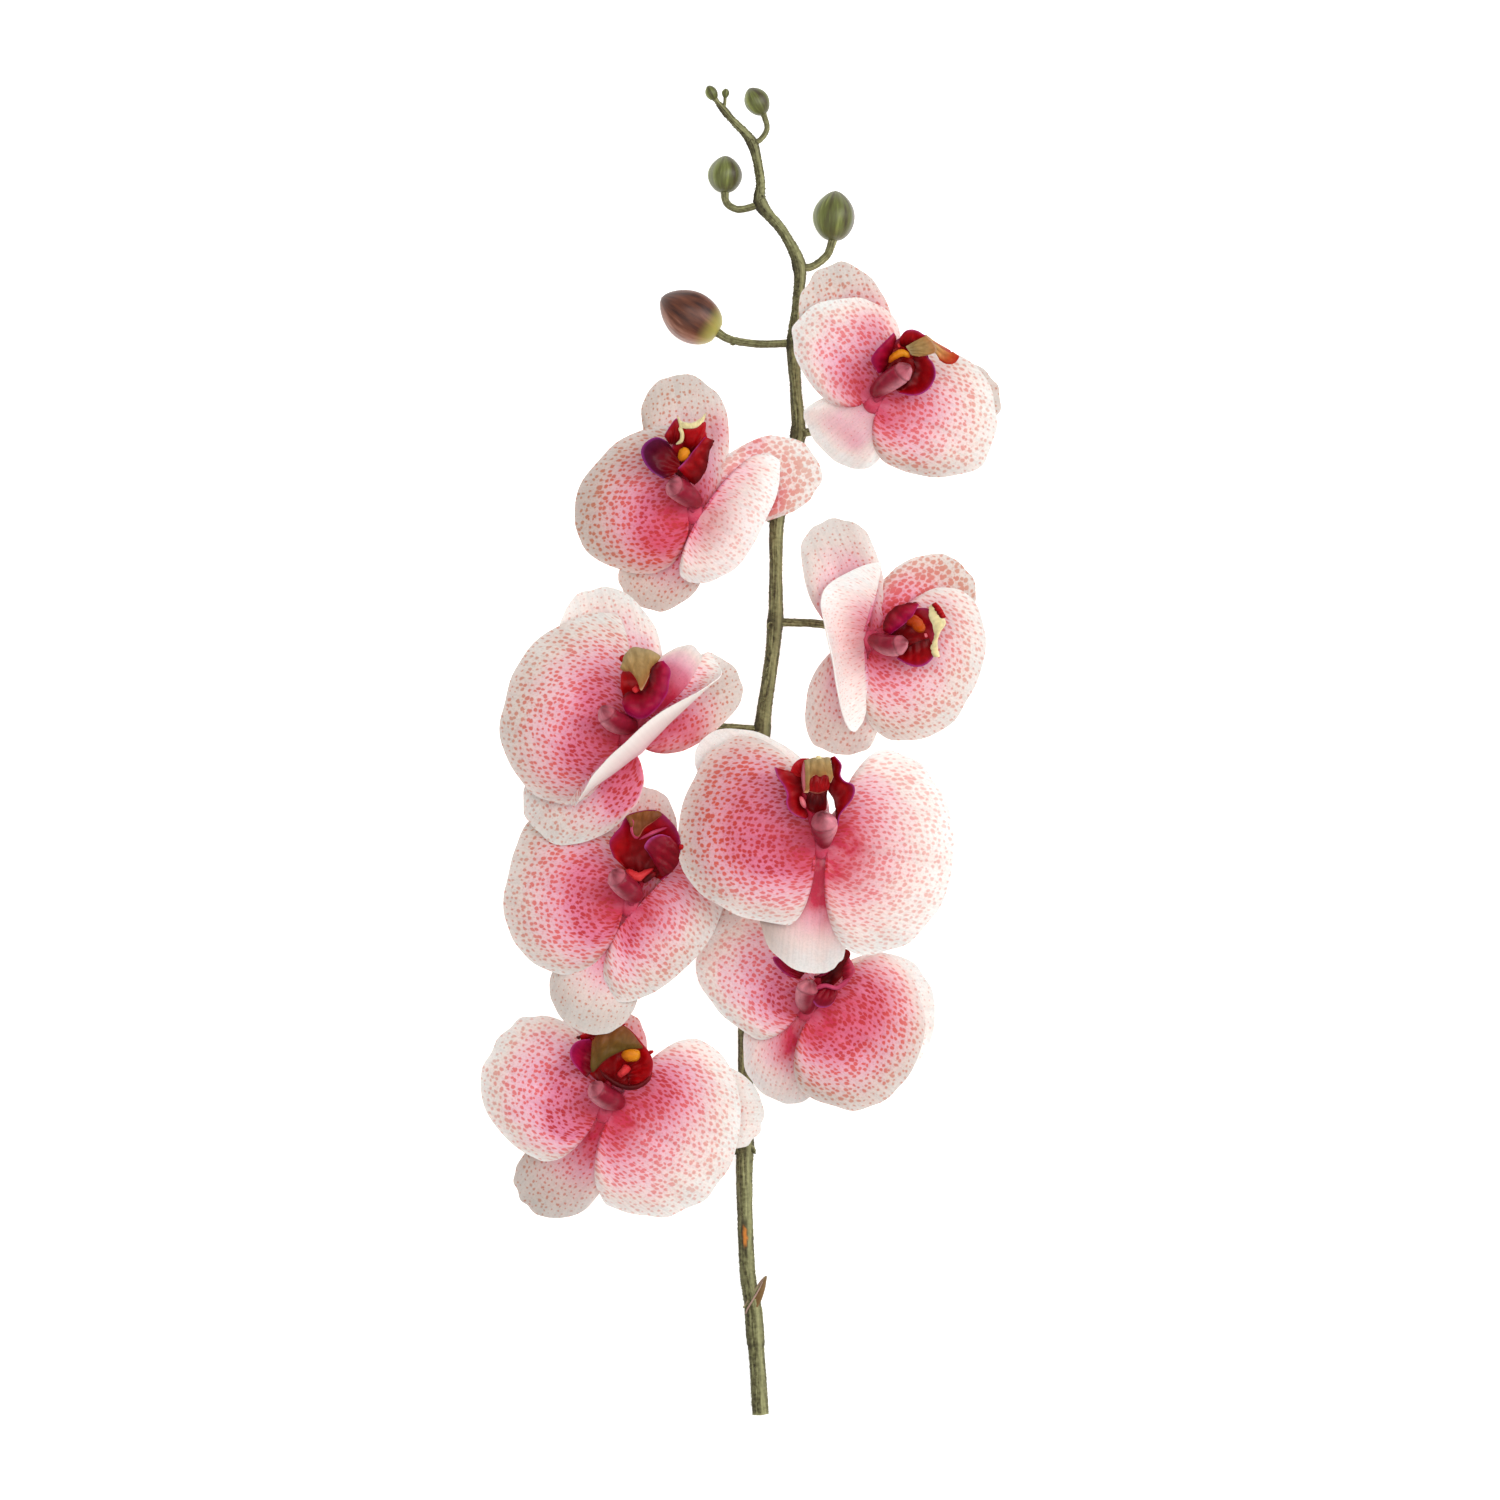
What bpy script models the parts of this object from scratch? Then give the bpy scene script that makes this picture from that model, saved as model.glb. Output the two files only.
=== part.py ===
# Moth orchid stem: a cut flower spike laid on its back, with eight open blooms facing up and
# six buds towards its tip. Metres, +Z up. The spike runs along +Y, from its cut end to its tip.
# The origin lies under the middle of the whole, on the surface that it rests on. Sizes and places
# below are in millimetres, in that same frame.

import math

import bmesh
import bpy
import numpy as np
from mathutils import Matrix, Vector

MM = 0.001

# Driving sizes
BLADE_THICKNESS = 0.9
REST_HEIGHT = 0.3
HUB_RADIUS = 4.2
HUB_HALF_HEIGHT = 3.6
SEAT_GAP = 0.35
STALK_RADIUS = 1.5
STALK_NECK = 5.0
STALK_FLARE = 0.35
SHARP_ANGLE = math.radians(50)
CLAW = 2.0
BLADE_FOOT = 2.4
BUD_SIDES = 10
BUD_RINGS = 7
BUD_BLUNTNESS = 0.62
WELD_DISTANCE = 0.02

# Heights of the blades' feet over the middle of the hub, how much lower each next blade of a kind
# is set, and how far each kind arches upwards
PETAL_FOOT_HEIGHT = 1.0
SEPAL_FOOT_HEIGHT = -1.1
BLADE_STAGGER = 0.2
PETAL_ARCH = 3.0
SEPAL_ARCH = 0.6

# An arch spans this share of a half wave, and towards the sides it keeps this share of its height.
# What bends a blade down or up gathers towards the margin by this power.
ARCH_SPAN = 0.8
ARCH_AT_SIDES = 0.4
BEND_POWER = 1.6

# A blade is a fan of lines from its foot to its margin. The fan opens to FAN_TURN on both sides
# of the blade's aim. Steps across the fan and from foot to margin.
FAN_TURN = math.radians(166)
PETAL_STEPS = (10, 3)
SEPAL_STEPS = (6, 3)
ROLLED_STEPS = (10, 6)
SIDE_LOBE_STEPS = (6, 3)
MID_LOBE_STEPS = (6, 5)
BRACT_STEPS = (4, 2)

# The column: its foot over the hub (out, up), its reach (out, up) and its radius, how much slimmer
# its foot is, how far it is widest towards its cap, and how blunt both ends are
COLUMN_FOOT = (0.2, 4.0)
COLUMN_REACH = (9.6, 12.0)
COLUMN_RADIUS = 4.8
COLUMN_TAPER = 0.26
COLUMN_SWELL = 1.25
COLUMN_BLUNTNESS = 0.45
COLUMN_SIDES = 8
COLUMN_RINGS = 6

# The lip, measured from the middle of the hub along its own aim: out, to the side, up
LEAN_SLOPE = 0.05
LIP_CLAW = (11.8, 6.0)
LIP_CLAW_HALF = (4.6, 2.0, 1.4)
CALLUS = (15.6, 0.0, 8.0)
CALLUS_HALF = (2.0, 1.9, 2.4)
SIDE_LOBE_FOOT = (14.0, -1.1, 6.0)
SIDE_LOBE_AHEAD = (0.28, 0.76, 0.59)
SIDE_LOBE_REACH = 20.5
SIDE_LOBE_NEAR = (7.0, 11.0)
SIDE_LOBE_FAR = (9.5, 11.0)
SIDE_LOBE_CURL = (7.0, 10.0)
MID_LOBE_FOOT = (11.8, 0.0, 5.6)
MID_LOBE_REACH = 31.0
MID_LOBE_HALF = (7.5, 24.0)
MID_LOBE_CURL = (14.0, 5.6)
MID_LOBE_NECK = 2.2

# Colour and roughness of each finish
FINISHES = {
    "stem_green": ((0.25, 0.27, 0.12), 0.6),
    "bud_green": ((0.33, 0.38, 0.16), 0.5),
    "bud_brown": ((0.30, 0.11, 0.08), 0.4),
    "tepal_pink": ((0.90, 0.52, 0.58), 0.55),
    "lip_crimson": ((0.40, 0.01, 0.05), 0.4),
    "column_mauve": ((0.62, 0.25, 0.33), 0.4),
}

# The spike's centre line from the cut end to the tip: x, y, height, radius
SPIKE = (
    (5.8, -239.1, 2.9, 3.0),
    (4.6, -222.0, 3.1, 2.9),
    (3.1, -200.0, 3.6, 3.0),
    (1.0, -187.0, 4.0, 2.8),
    (0.2, -165.0, 4.8, 2.8),
    (0.0, -141.7, 5.4, 3.1),
    (0.3, -120.0, 6.0, 2.7),
    (0.4, -98.0, 6.6, 2.6),
    (1.4, -76.0, 7.2, 2.8),
    (4.0, -45.0, 8.0, 2.8),
    (5.6, -18.0, 8.4, 2.7),
    (6.4, 8.1, 8.8, 2.8),
    (9.0, 28.0, 9.0, 2.5),
    (11.0, 47.0, 9.2, 2.7),
    (11.3, 67.0, 9.4, 2.3),
    (11.8, 85.5, 9.6, 2.6),
    (15.6, 101.0, 9.6, 2.2),
    (19.3, 114.7, 9.6, 2.5),
    (18.5, 131.0, 9.6, 2.1),
    (17.6, 147.4, 9.6, 2.3),
    (18.8, 160.7, 9.4, 1.8),
    (19.7, 174.8, 9.2, 2.2),
    (14.3, 187.0, 8.8, 1.8),
    (6.0, 197.5, 8.6, 2.1),
    (5.7, 206.0, 8.8, 1.6),
    (2.6, 219.5, 9.4, 1.7),
    (-4.6, 227.8, 10.4, 1.3),
    (-9.6, 233.8, 11.0, 1.1),
)

# Buds: foot, tip, greatest radius and how far along it lies as a share of the length, finish,
# and the stalk: its radius and its points from inside the spike, short of the bud's foot
BUDS = {
    "bud_brown": {
        "foot": (-9.4, 151.0, 8.4), "tip": (-30.0, 163.8, 8.2), "radius": 8.8, "widest": 0.46,
        "finish": "bud_brown", "stalk_radius": 1.4,
        "stalk": ((17.6, 147.4, 9.4), (5.3, 147.1, 8.6), (-4.8, 148.6, 8.8)),
    },
    "bud_right": {
        "foot": (32.0, 184.2, 7.4), "tip": (32.8, 202.4, 6.8), "radius": 7.5, "widest": 0.48,
        "finish": "bud_green", "stalk_radius": 1.4,
        "stalk": ((19.7, 174.8, 9.2), (24.1, 174.9, 8.8), (29.6, 179.0, 8.2)),
    },
    "bud_left": {
        "foot": (-7.2, 201.6, 6.2), "tip": (-6.8, 215.1, 5.6), "radius": 6.1, "widest": 0.48,
        "finish": "bud_green", "stalk_radius": 1.3,
        "stalk": ((6.0, 197.5, 8.6), (-1.8, 195.6, 7.6), (-6.4, 198.0, 6.8)),
    },
    "bud_upper": {
        "foot": (7.2, 229.8, 9.0), "tip": (1.6, 239.2, 9.0), "radius": 4.4, "widest": 0.50,
        "finish": "bud_green", "stalk_radius": 1.0,
        "stalk": ((2.6, 219.5, 9.4), (5.9, 220.8, 9.4), (8.1, 225.0, 9.2)),
    },
    "bud_tip": {
        "foot": (-10.5, 234.8, 11.1), "tip": (-13.2, 240.0, 11.6), "radius": 2.2, "widest": 0.50,
        "finish": "bud_green", "stalk_radius": 0.9,
        "stalk": ((-7.2, 231.0, 10.7), (-9.4, 233.6, 11.0)),
    },
    "bud_small": {
        "foot": (-7.0, 235.4, 11.2), "tip": (-6.6, 239.0, 11.4), "radius": 1.4, "widest": 0.55,
        "finish": "bud_green", "stalk_radius": 0.6,
        "stalk": ((-7.6, 231.4, 10.8), (-7.2, 233.4, 11.0)),
    },
}

# The sheath leaf that clasps the spike near its cut end
BRACT = {
    "place": (0.6, -202.4, 5.0),
    "aim": 64,
    "reach": 15.0,
    "half": (2.9, 5.2),
    "arch": 2.0,
}


def blade(aim, reach, left, right, drop=0.0, lift=(0.0, 0.0), curl=None):
    """One sepal, petal or lobe. aim is its direction in degrees from +X; reach is its length.
    left and right are (half width, distance out at which it is widest). drop lowers its tip and
    lift raises its left and right margins. curl is (start, radius) of a roll to its upper side.
    Its neck may be raised over 1, which narrows it near its foot."""
    return {
        "aim": aim,
        "reach": reach,
        "left": left,
        "right": right,
        "drop": drop,
        "lift": lift,
        "curl": curl,
        "neck": 1.0,
    }


# The blooms, from the tip of the spike to its cut end. centre is the middle of the hub. The stalk
# starts at the point of the spike nearest to its first entry. lip is the way the lip points.
BLOOMS = {
    "bloom_1": {
        "centre": (46.5, 125.5, 30.0),
        "stalk": ((19.3, 114.7, 9.6), (30.0, 117.0, 9.4), (41.0, 122.0, 13.0)),
        "lip": {"aim": 50, "lean": 1.5},
        "petals": (
            blade(131, 40.5, (13, 16), (25, 19), 2, (0, 2)),
            blade(-25, 45, (28, 20), (18, 14), 2, (-3, 0)),
        ),
        "sepals": (
            blade(107, 52, (17, 33), (15, 29), 6),
            blade(1, 45.5, (14, 30), (12, 30), 10),
            blade(-140, 25, (17, 14), (14, 20), 8),
        ),
    },
    "bloom_2": {
        "centre": (-18.0, 85.5, 31.0),
        "stalk": ((11.8, 85.5, 9.6), (2.0, 84.0, 9.4), (-11.0, 84.5, 14.0)),
        "lip": {"aim": 98, "lean": 3.0},
        "petals": (
            blade(184, 43, (20, 17), (32, 6), 3, (-2, 0)),
            blade(-30, 24, (34, 14), (22, 8), -2, (-3, 2)),
        ),
        "sepals": (
            blade(97, 50.5, (14.5, 36), (16, 31), 5),
            blade(21, 48.5, (17, 31), (12, 30), 5),
            blade(-122, 38.5, (15, 22), (12, 30), 9),
        ),
    },
    "bloom_3": {
        "centre": (45.0, 40.0, 33.0),
        "stalk": ((11.0, 47.0, 9.2), (29.0, 46.0, 9.6), (41.0, 41.5, 14.0)),
        "lip": {"aim": 8, "lean": 0.0},
        "petals": (
            blade(190, 27, (31, 12), (28, -6), 0, (0, 0), (8, 9)),
            blade(-30, 41, (32, 20), (27, 20), 1, (2, 0)),
        ),
        "sepals": (
            blade(115, 46, (13, 22), (15.5, 33), 5),
            blade(38, 43, (15, 24), (15, 31), 4),
            blade(-112.5, 42.5, (15, 33), (14, 20), 6),
        ),
    },
    "bloom_4": {
        "centre": (-42.0, 6.0, 47.0),
        "stalk": ((6.4, 8.1, 8.8), (-11.0, 9.0, 10.0), (-31.0, 6.5, 20.0)),
        "lip": {"aim": 72, "lean": 0.0},
        "petals": (
            blade(168, 45.5, (29, 18), (41, 13), 2, (0, -2)),
            blade(-48, 34, (42, -3), (31, 5), 0, (0, 0), (0, 10)),
        ),
        "sepals": (
            blade(105, 54, (14, 38), (20, 30), 6),
            blade(27, 45.5, (14, 36), (14, 18), 4),
            blade(-130, 47, (18.5, 18), (13, 35), 4),
        ),
    },
    "bloom_5": {
        "centre": (-41.0, -55.0, 39.5),
        "stalk": ((4.0, -45.0, 8.0), (-12.0, -48.0, 9.0), (-33.0, -54.0, 16.0)),
        "lip": {"aim": 75, "lean": 0.0},
        "petals": (
            blade(170, 45, (28, 20), (36, 28), 3, (0, -6)),
            blade(-45, 29.5, (37, 10), (27.5, 20), 0, (-2, 0)),
        ),
        "sepals": (
            blade(82, 43, (14, 28), (13, 28), 6),
            blade(5, 42, (13, 28), (13, 28), 7),
            blade(-112, 47.6, (15, 33), (17, 33), -3),
        ),
    },
    "bloom_6": {
        "centre": (27.5, -34.0, 54.0),
        "stalk": ((5.6, -18.0, 8.4), (13.0, -22.0, 10.0), (24.0, -31.0, 22.0)),
        "lip": {"aim": 92, "lean": 0.0},
        "petals": (
            blade(178, 51, (27.5, 16), (39, 30), 4, (0, -1)),
            blade(-10, 47, (38.5, 17), (35, 20), 3),
        ),
        "sepals": (
            blade(138, 57, (12, 40), (19, 28), 6),
            blade(25, 42, (13, 26), (13, 26), 6),
            blade(-98, 44.5, (14, 32), (20, 25), 4),
        ),
    },
    "bloom_7": {
        "centre": (22.5, -92.5, 25.0),
        "stalk": ((1.4, -76.0, 7.2), (8.0, -81.0, 8.4), (20.0, -90.0, 13.0)),
        "lip": {"aim": 88, "lean": 0.0},
        "petals": (
            blade(150, 45, (18, 12), (28, 25), 3, (0, -2)),
            blade(-35, 44, (33, 12), (25, 18), 4),
        ),
        "sepals": (
            blade(110, 38, (13, 24), (13, 24), 6),
            blade(-12, 47, (26, 26), (13, 35), 24.0),
            blade(-105, 35, (12, 20), (20, 12), 8),
        ),
    },
    "bloom_8": {
        "centre": (-50.0, -129.0, 22.5),
        "stalk": ((0.0, -141.7, 5.4), (-18.0, -138.0, 6.4), (-42.0, -131.0, 9.0)),
        "lip": {"aim": 83, "lean": 0.0},
        "petals": (
            blade(157, 47, (25, 15), (24, 31), 2),
            blade(-28, 48.5, (39, 19), (29, 18), 2),
        ),
        "sepals": (
            blade(90, 38, (20, 22), (15, 25), 4),
            blade(-3, 57, (19, 38), (12, 42), 6),
            blade(-127, 45, (16, 27), (14, 32), 21.6),
        ),
    },
}


def finish(name):
    material = bpy.data.materials.get(name)
    if material is None:
        colour, roughness = FINISHES[name]
        material = bpy.data.materials.new(name)
        material.use_nodes = True
        shader = material.node_tree.nodes["Principled BSDF"]
        shader.inputs["Base Color"].default_value = (*colour, 1.0)
        shader.inputs["Roughness"].default_value = roughness
        shader.inputs["Metallic"].default_value = 0.0
    return material


def object_from(bm, name, collection):
    mesh = bpy.data.meshes.new(name)
    bm.to_mesh(mesh)
    bm.free()
    obj = bpy.data.objects.new(name, mesh)
    collection.objects.link(obj)
    return obj


def evaluated_copy(obj, name, collection):
    """The object with its modifiers applied, as a new mesh object with welded caps."""
    depsgraph = bpy.context.evaluated_depsgraph_get()
    mesh = bpy.data.meshes.new_from_object(obj.evaluated_get(depsgraph))
    bm = bmesh.new()
    bm.from_mesh(mesh)
    bmesh.ops.remove_doubles(bm, verts=bm.verts, dist=WELD_DISTANCE * MM)
    bm.to_mesh(mesh)
    bm.free()
    made = bpy.data.objects.new(name, mesh)
    made.matrix_world = obj.matrix_world.copy()
    collection.objects.link(made)
    return made


def smooth_line(points, steps):
    """Points on a smooth curve through the given ones, steps to each stretch."""
    rows = [np.array(p, dtype=float) for p in points]
    rows = [2 * rows[0] - rows[1]] + rows + [2 * rows[-1] - rows[-2]]
    line = []
    for i in range(1, len(rows) - 2):
        before, start, end, after = rows[i - 1 : i + 3]
        for k in range(steps):
            t = k / steps
            line.append(
                start
                + 0.5 * t * (end - before)
                + t * t * (before - 2.5 * start + 2 * end - 0.5 * after)
                + t ** 3 * (1.5 * (start - end) + 0.5 * (after - before))
            )
    line.append(rows[-2])
    return line


def tube(name, line, radii, collection, roundness=1):
    """A closed round tube along a line, as a mesh."""
    curve = bpy.data.curves.new(name, "CURVE")
    curve.dimensions = "3D"
    curve.bevel_depth = MM
    curve.bevel_resolution = roundness
    curve.use_fill_caps = True
    spline = curve.splines.new("POLY")
    spline.points.add(len(line) - 1)
    for point, place, radius in zip(spline.points, line, radii):
        point.co = (place[0] * MM, place[1] * MM, place[2] * MM, 1.0)
        point.radius = radius
    source = bpy.data.objects.new(name + "_line", curve)
    collection.objects.link(source)
    made = evaluated_copy(source, name, collection)
    bpy.data.objects.remove(source)
    return made


def flatten_underneath(obj):
    """Presses flat what would reach below the surface that the spike lies on."""
    for vert in obj.data.vertices:
        vert.co.z = max(vert.co.z, 0.0)


def fuse(name, core, pieces, parts, material):
    """Joins the pieces to the core in one Boolean union, and leaves one object in the parts."""
    group = bpy.data.collections.new(name + "_pieces")
    bpy.context.scene.collection.children.link(group)
    for piece in pieces:
        for holder in list(piece.users_collection):
            holder.objects.unlink(piece)
        group.objects.link(piece)
    union = core.modifiers.new("join", "BOOLEAN")
    union.operation = "UNION"
    union.operand_type = "COLLECTION"
    union.collection = group
    union.solver = "MANIFOLD"
    made = evaluated_copy(core, name, parts)
    made.data.materials.clear()
    made.data.materials.append(finish(material))
    for piece in [core] + list(group.objects):
        bpy.data.objects.remove(piece)
    bpy.data.collections.remove(group)
    flatten_underneath(made)
    made.data.shade_smooth()
    made.data.set_sharp_from_angle(angle=SHARP_ANGLE)
    return made


def margin_point(spec, turn):
    """Where the margin lies at a turn of the fan: distance out along the aim, and to the left."""
    half, station = spec["left"] if turn > 0 else spec["right"]
    side = 1 if turn > 0 else -1
    swing = abs(turn)
    if swing <= math.pi / 2:
        out = station + (spec["reach"] - station) * math.cos(swing)
        across = half * math.sin(swing)
    else:
        back = swing - math.pi / 2
        out = BLADE_FOOT + (station - BLADE_FOOT) * (1 - math.sin(back))
        across = CLAW + (half - CLAW) * math.cos(back) ** spec["neck"]
    return out, side * across


def blade_place(spec, across_share, out_share, arch):
    """A point of the blade before it is turned to its aim: out, to the left, and up."""
    turn = FAN_TURN * across_share
    margin_out, margin_side = margin_point(spec, turn)
    out = BLADE_FOOT + (margin_out - BLADE_FOOT) * out_share
    side = CLAW * across_share + (margin_side - CLAW * across_share) * out_share
    tipward = max(0.0, math.cos(turn)) ** 2
    sideward = math.sin(turn) ** 2
    lift = spec["lift"][0] if turn > 0 else spec["lift"][1]
    share = ARCH_AT_SIDES + (1 - ARCH_AT_SIDES) * tipward
    up = arch * math.sin(math.pi * ARCH_SPAN * out_share) * share
    up += (lift * sideward - spec["drop"] * tipward) * out_share ** BEND_POWER
    if spec["curl"]:
        start, radius = spec["curl"]
        if out > start:
            angle = (out - start) / radius
            up += radius * (1 - math.cos(angle))
            out = start + radius * math.sin(angle)
    return out, side, up


def facing(aim):
    """Turns a blade's own axes (out, left, up) to a direction in plan."""
    return Matrix.Rotation(math.radians(aim), 3, "Z")


def blade_sheet(name, spec, foot, frame, arch, steps, collection):
    """A thin closed blade: a grid laid out as a fan, thickened alike on both faces."""
    across_steps, out_steps = steps
    bm = bmesh.new()
    bmesh.ops.create_grid(bm, x_segments=across_steps, y_segments=out_steps, size=1.0)
    for vert in bm.verts:
        place = Vector(blade_place(spec, -vert.co.x, (vert.co.y + 1) / 2, arch))
        place = Vector(foot) + frame @ place
        place.z = max(place.z, REST_HEIGHT)
        vert.co = place * MM
    bmesh.ops.triangulate(bm, faces=bm.faces, quad_method="SHORT_EDGE")
    sheet = object_from(bm, name, collection)
    thicken = sheet.modifiers.new("thickness", "SOLIDIFY")
    thicken.thickness = BLADE_THICKNESS * MM
    thicken.offset = 0.0
    thicken.use_quality_normals = True
    made = evaluated_copy(sheet, name, collection)
    bpy.data.objects.remove(sheet)
    return made


def rounded_body(radius_at, axis, foot, sides, rings):
    """A closed round body along an axis, its radius given by a rule of the share of its length."""
    bm = bmesh.new()
    bmesh.ops.create_uvsphere(bm, u_segments=sides, v_segments=rings, radius=1.0)
    turn = Vector((0, 0, 1)).rotation_difference(axis).to_matrix()
    for vert in bm.verts:
        along = min(1.0, max(0.0, (vert.co.z + 1) / 2))
        around = Vector((vert.co.x, vert.co.y, 0))
        if around.length > 1e-4:
            around = around.normalized() * radius_at(along)
        vert.co = (foot + turn @ (around + Vector((0, 0, axis.length * along)))) * MM
    return bm


def ellipsoid(name, centre, half_sizes, frame, collection, sides=8, rings=5):
    bm = bmesh.new()
    bmesh.ops.create_uvsphere(bm, u_segments=sides, v_segments=rings, radius=1.0)
    for vert in bm.verts:
        own = Vector([c * h for c, h in zip(vert.co, half_sizes)])
        vert.co = (Vector(centre) + frame @ own) * MM
    return object_from(bm, name, collection)


def bud(name, spec, parts):
    """An egg-shaped bud with a blunt foot."""
    foot = Vector(spec["foot"])
    axis = Vector(spec["tip"]) - foot
    warp = math.log(0.5) / math.log(spec["widest"])

    def radius_at(along):
        swell = math.sin(math.pi * min(1.0, along ** warp))
        return spec["radius"] * swell ** BUD_BLUNTNESS

    bm = rounded_body(radius_at, axis, foot, BUD_SIDES, BUD_RINGS)
    made = object_from(bm, name, parts)
    flatten_underneath(made)
    made.data.materials.append(finish(spec["finish"]))
    made.data.shade_smooth()
    return made


def tepals(name, bloom, parts, bench):
    """Three sepals behind and two petals in front, fused to the hub."""
    centre = Vector(bloom["centre"])
    half_sizes = (HUB_RADIUS, HUB_RADIUS, HUB_HALF_HEIGHT)
    core = ellipsoid(name + "_hub", centre, half_sizes, Matrix.Identity(3), bench)
    layers = (
        ("petal", bloom["petals"], PETAL_FOOT_HEIGHT, PETAL_ARCH, PETAL_STEPS),
        ("sepal", bloom["sepals"], SEPAL_FOOT_HEIGHT, SEPAL_ARCH, SEPAL_STEPS),
    )
    blades = []
    for kind, specs, height, arch, open_steps in layers:
        for i, spec in enumerate(specs):
            foot = centre + Vector((0, 0, height - i * BLADE_STAGGER))
            frame = facing(spec["aim"])
            steps = ROLLED_STEPS if spec["curl"] else open_steps
            blades.append(blade_sheet(f"{name}_{kind}_{i}", spec, foot, frame, arch, steps, bench))
    return fuse(name + "_tepals", core, blades, parts, "tepal_pink")


def column(name, bloom, parts):
    """The column: a blunt club that leans from the hub towards the lip."""
    frame = facing(bloom["lip"]["aim"])
    centre = Vector(bloom["centre"])
    foot = centre + frame @ Vector((COLUMN_FOOT[0], 0, COLUMN_FOOT[1]))
    axis = frame @ Vector((COLUMN_REACH[0], 0, COLUMN_REACH[1]))

    def radius_at(along):
        taper = 1 - COLUMN_TAPER * (1 - along)
        return COLUMN_RADIUS * taper * math.sin(math.pi * along ** COLUMN_SWELL) ** COLUMN_BLUNTNESS

    bm = rounded_body(radius_at, axis, foot, COLUMN_SIDES, COLUMN_RINGS)
    made = object_from(bm, name + "_column", parts)
    made.data.materials.append(finish("column_mauve"))
    made.data.shade_smooth()
    return made


def lip(name, bloom, parts, bench):
    """The lip: a short claw, two side lobes that stand up, a middle lobe rolled back, a callus."""
    centre = Vector(bloom["centre"])
    turned = facing(bloom["lip"]["aim"])
    lean = bloom["lip"]["lean"]

    def at(out, side, up):
        return centre + turned @ Vector((out, side, up))

    claw_out, claw_up = LIP_CLAW
    core = ellipsoid(name + "_claw", at(claw_out, 0, claw_up), LIP_CLAW_HALF, turned, bench)
    pieces = [ellipsoid(name + "_callus", at(*CALLUS), CALLUS_HALF, turned, bench, 6, 4)]
    for side in (1, -1):
        ahead = Vector(SIDE_LOBE_AHEAD)
        ahead.y = side * ahead.y + lean * LEAN_SLOPE
        ahead.normalize()
        aside = Vector((-side, 0, 0))
        aside = (aside - ahead * aside.dot(ahead)).normalized()
        own = Matrix((ahead, aside, ahead.cross(aside))).transposed()
        near, far = SIDE_LOBE_NEAR, SIDE_LOBE_FAR
        spec = blade(0, SIDE_LOBE_REACH, near if side > 0 else far, far if side > 0 else near)
        spec["curl"] = SIDE_LOBE_CURL
        foot = at(SIDE_LOBE_FOOT[0], side * SIDE_LOBE_FOOT[1], SIDE_LOBE_FOOT[2])
        pieces.append(
            blade_sheet(f"{name}_side_{side}", spec, foot, turned @ own, 0.0, SIDE_LOBE_STEPS, bench)
        )
    spec = blade(0, MID_LOBE_REACH, MID_LOBE_HALF, MID_LOBE_HALF)
    spec["curl"] = MID_LOBE_CURL
    spec["neck"] = MID_LOBE_NECK
    foot = at(*MID_LOBE_FOOT)
    pieces.append(blade_sheet(name + "_middle", spec, foot, turned, 0.0, MID_LOBE_STEPS, bench))
    return fuse(name + "_lip", core, pieces, parts, "lip_crimson")


def stem(parts, bench):
    """The spike with the stalks of its blooms and buds and its sheath leaf, in one piece."""
    core = tube("spike", [p[:3] for p in SPIKE], [p[3] for p in SPIKE], bench, 2)
    pieces = []
    for name, bloom in BLOOMS.items():
        x, y, z = bloom["centre"]
        top = z - HUB_HALF_HEIGHT - SEAT_GAP
        stalk = smooth_line(bloom["stalk"] + ((x, y, top - STALK_NECK), (x, y, top)), 2)
        count = len(stalk) - 1
        radii = [STALK_RADIUS * (1 + STALK_FLARE * (i / count) ** 6) for i in range(count + 1)]
        pieces.append(tube(name + "_stalk", stalk, radii, bench))
    for name, spec in BUDS.items():
        foot = Vector(spec["foot"])
        end = foot - (Vector(spec["tip"]) - foot).normalized() * SEAT_GAP
        stalk = smooth_line(spec["stalk"] + (tuple(end),), 2)
        pieces.append(tube(name + "_stalk", stalk, [spec["stalk_radius"]] * len(stalk), bench))
    spec = blade(BRACT["aim"], BRACT["reach"], BRACT["half"], BRACT["half"])
    turned = facing(BRACT["aim"])
    place = BRACT["place"]
    pieces.append(blade_sheet("bract", spec, place, turned, BRACT["arch"], BRACT_STEPS, bench))
    return fuse("stem", core, pieces, parts, "stem_green")


def main():
    for obj in list(bpy.data.objects):
        bpy.data.objects.remove(obj)
    parts = bpy.data.collections.new("moth_orchid_stem")
    bench = bpy.data.collections.new("bench")
    bpy.context.scene.collection.children.link(parts)
    bpy.context.scene.collection.children.link(bench)
    stem(parts, bench)
    for name, spec in BUDS.items():
        bud(name, spec, parts)
    for name, bloom in BLOOMS.items():
        tepals(name, bloom, parts, bench)
        column(name, bloom, parts)
        lip(name, bloom, parts, bench)
    bpy.data.collections.remove(bench)


main()
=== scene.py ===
import math
import random

import bmesh
import bpy
from mathutils import Matrix, Vector, noise


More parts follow.
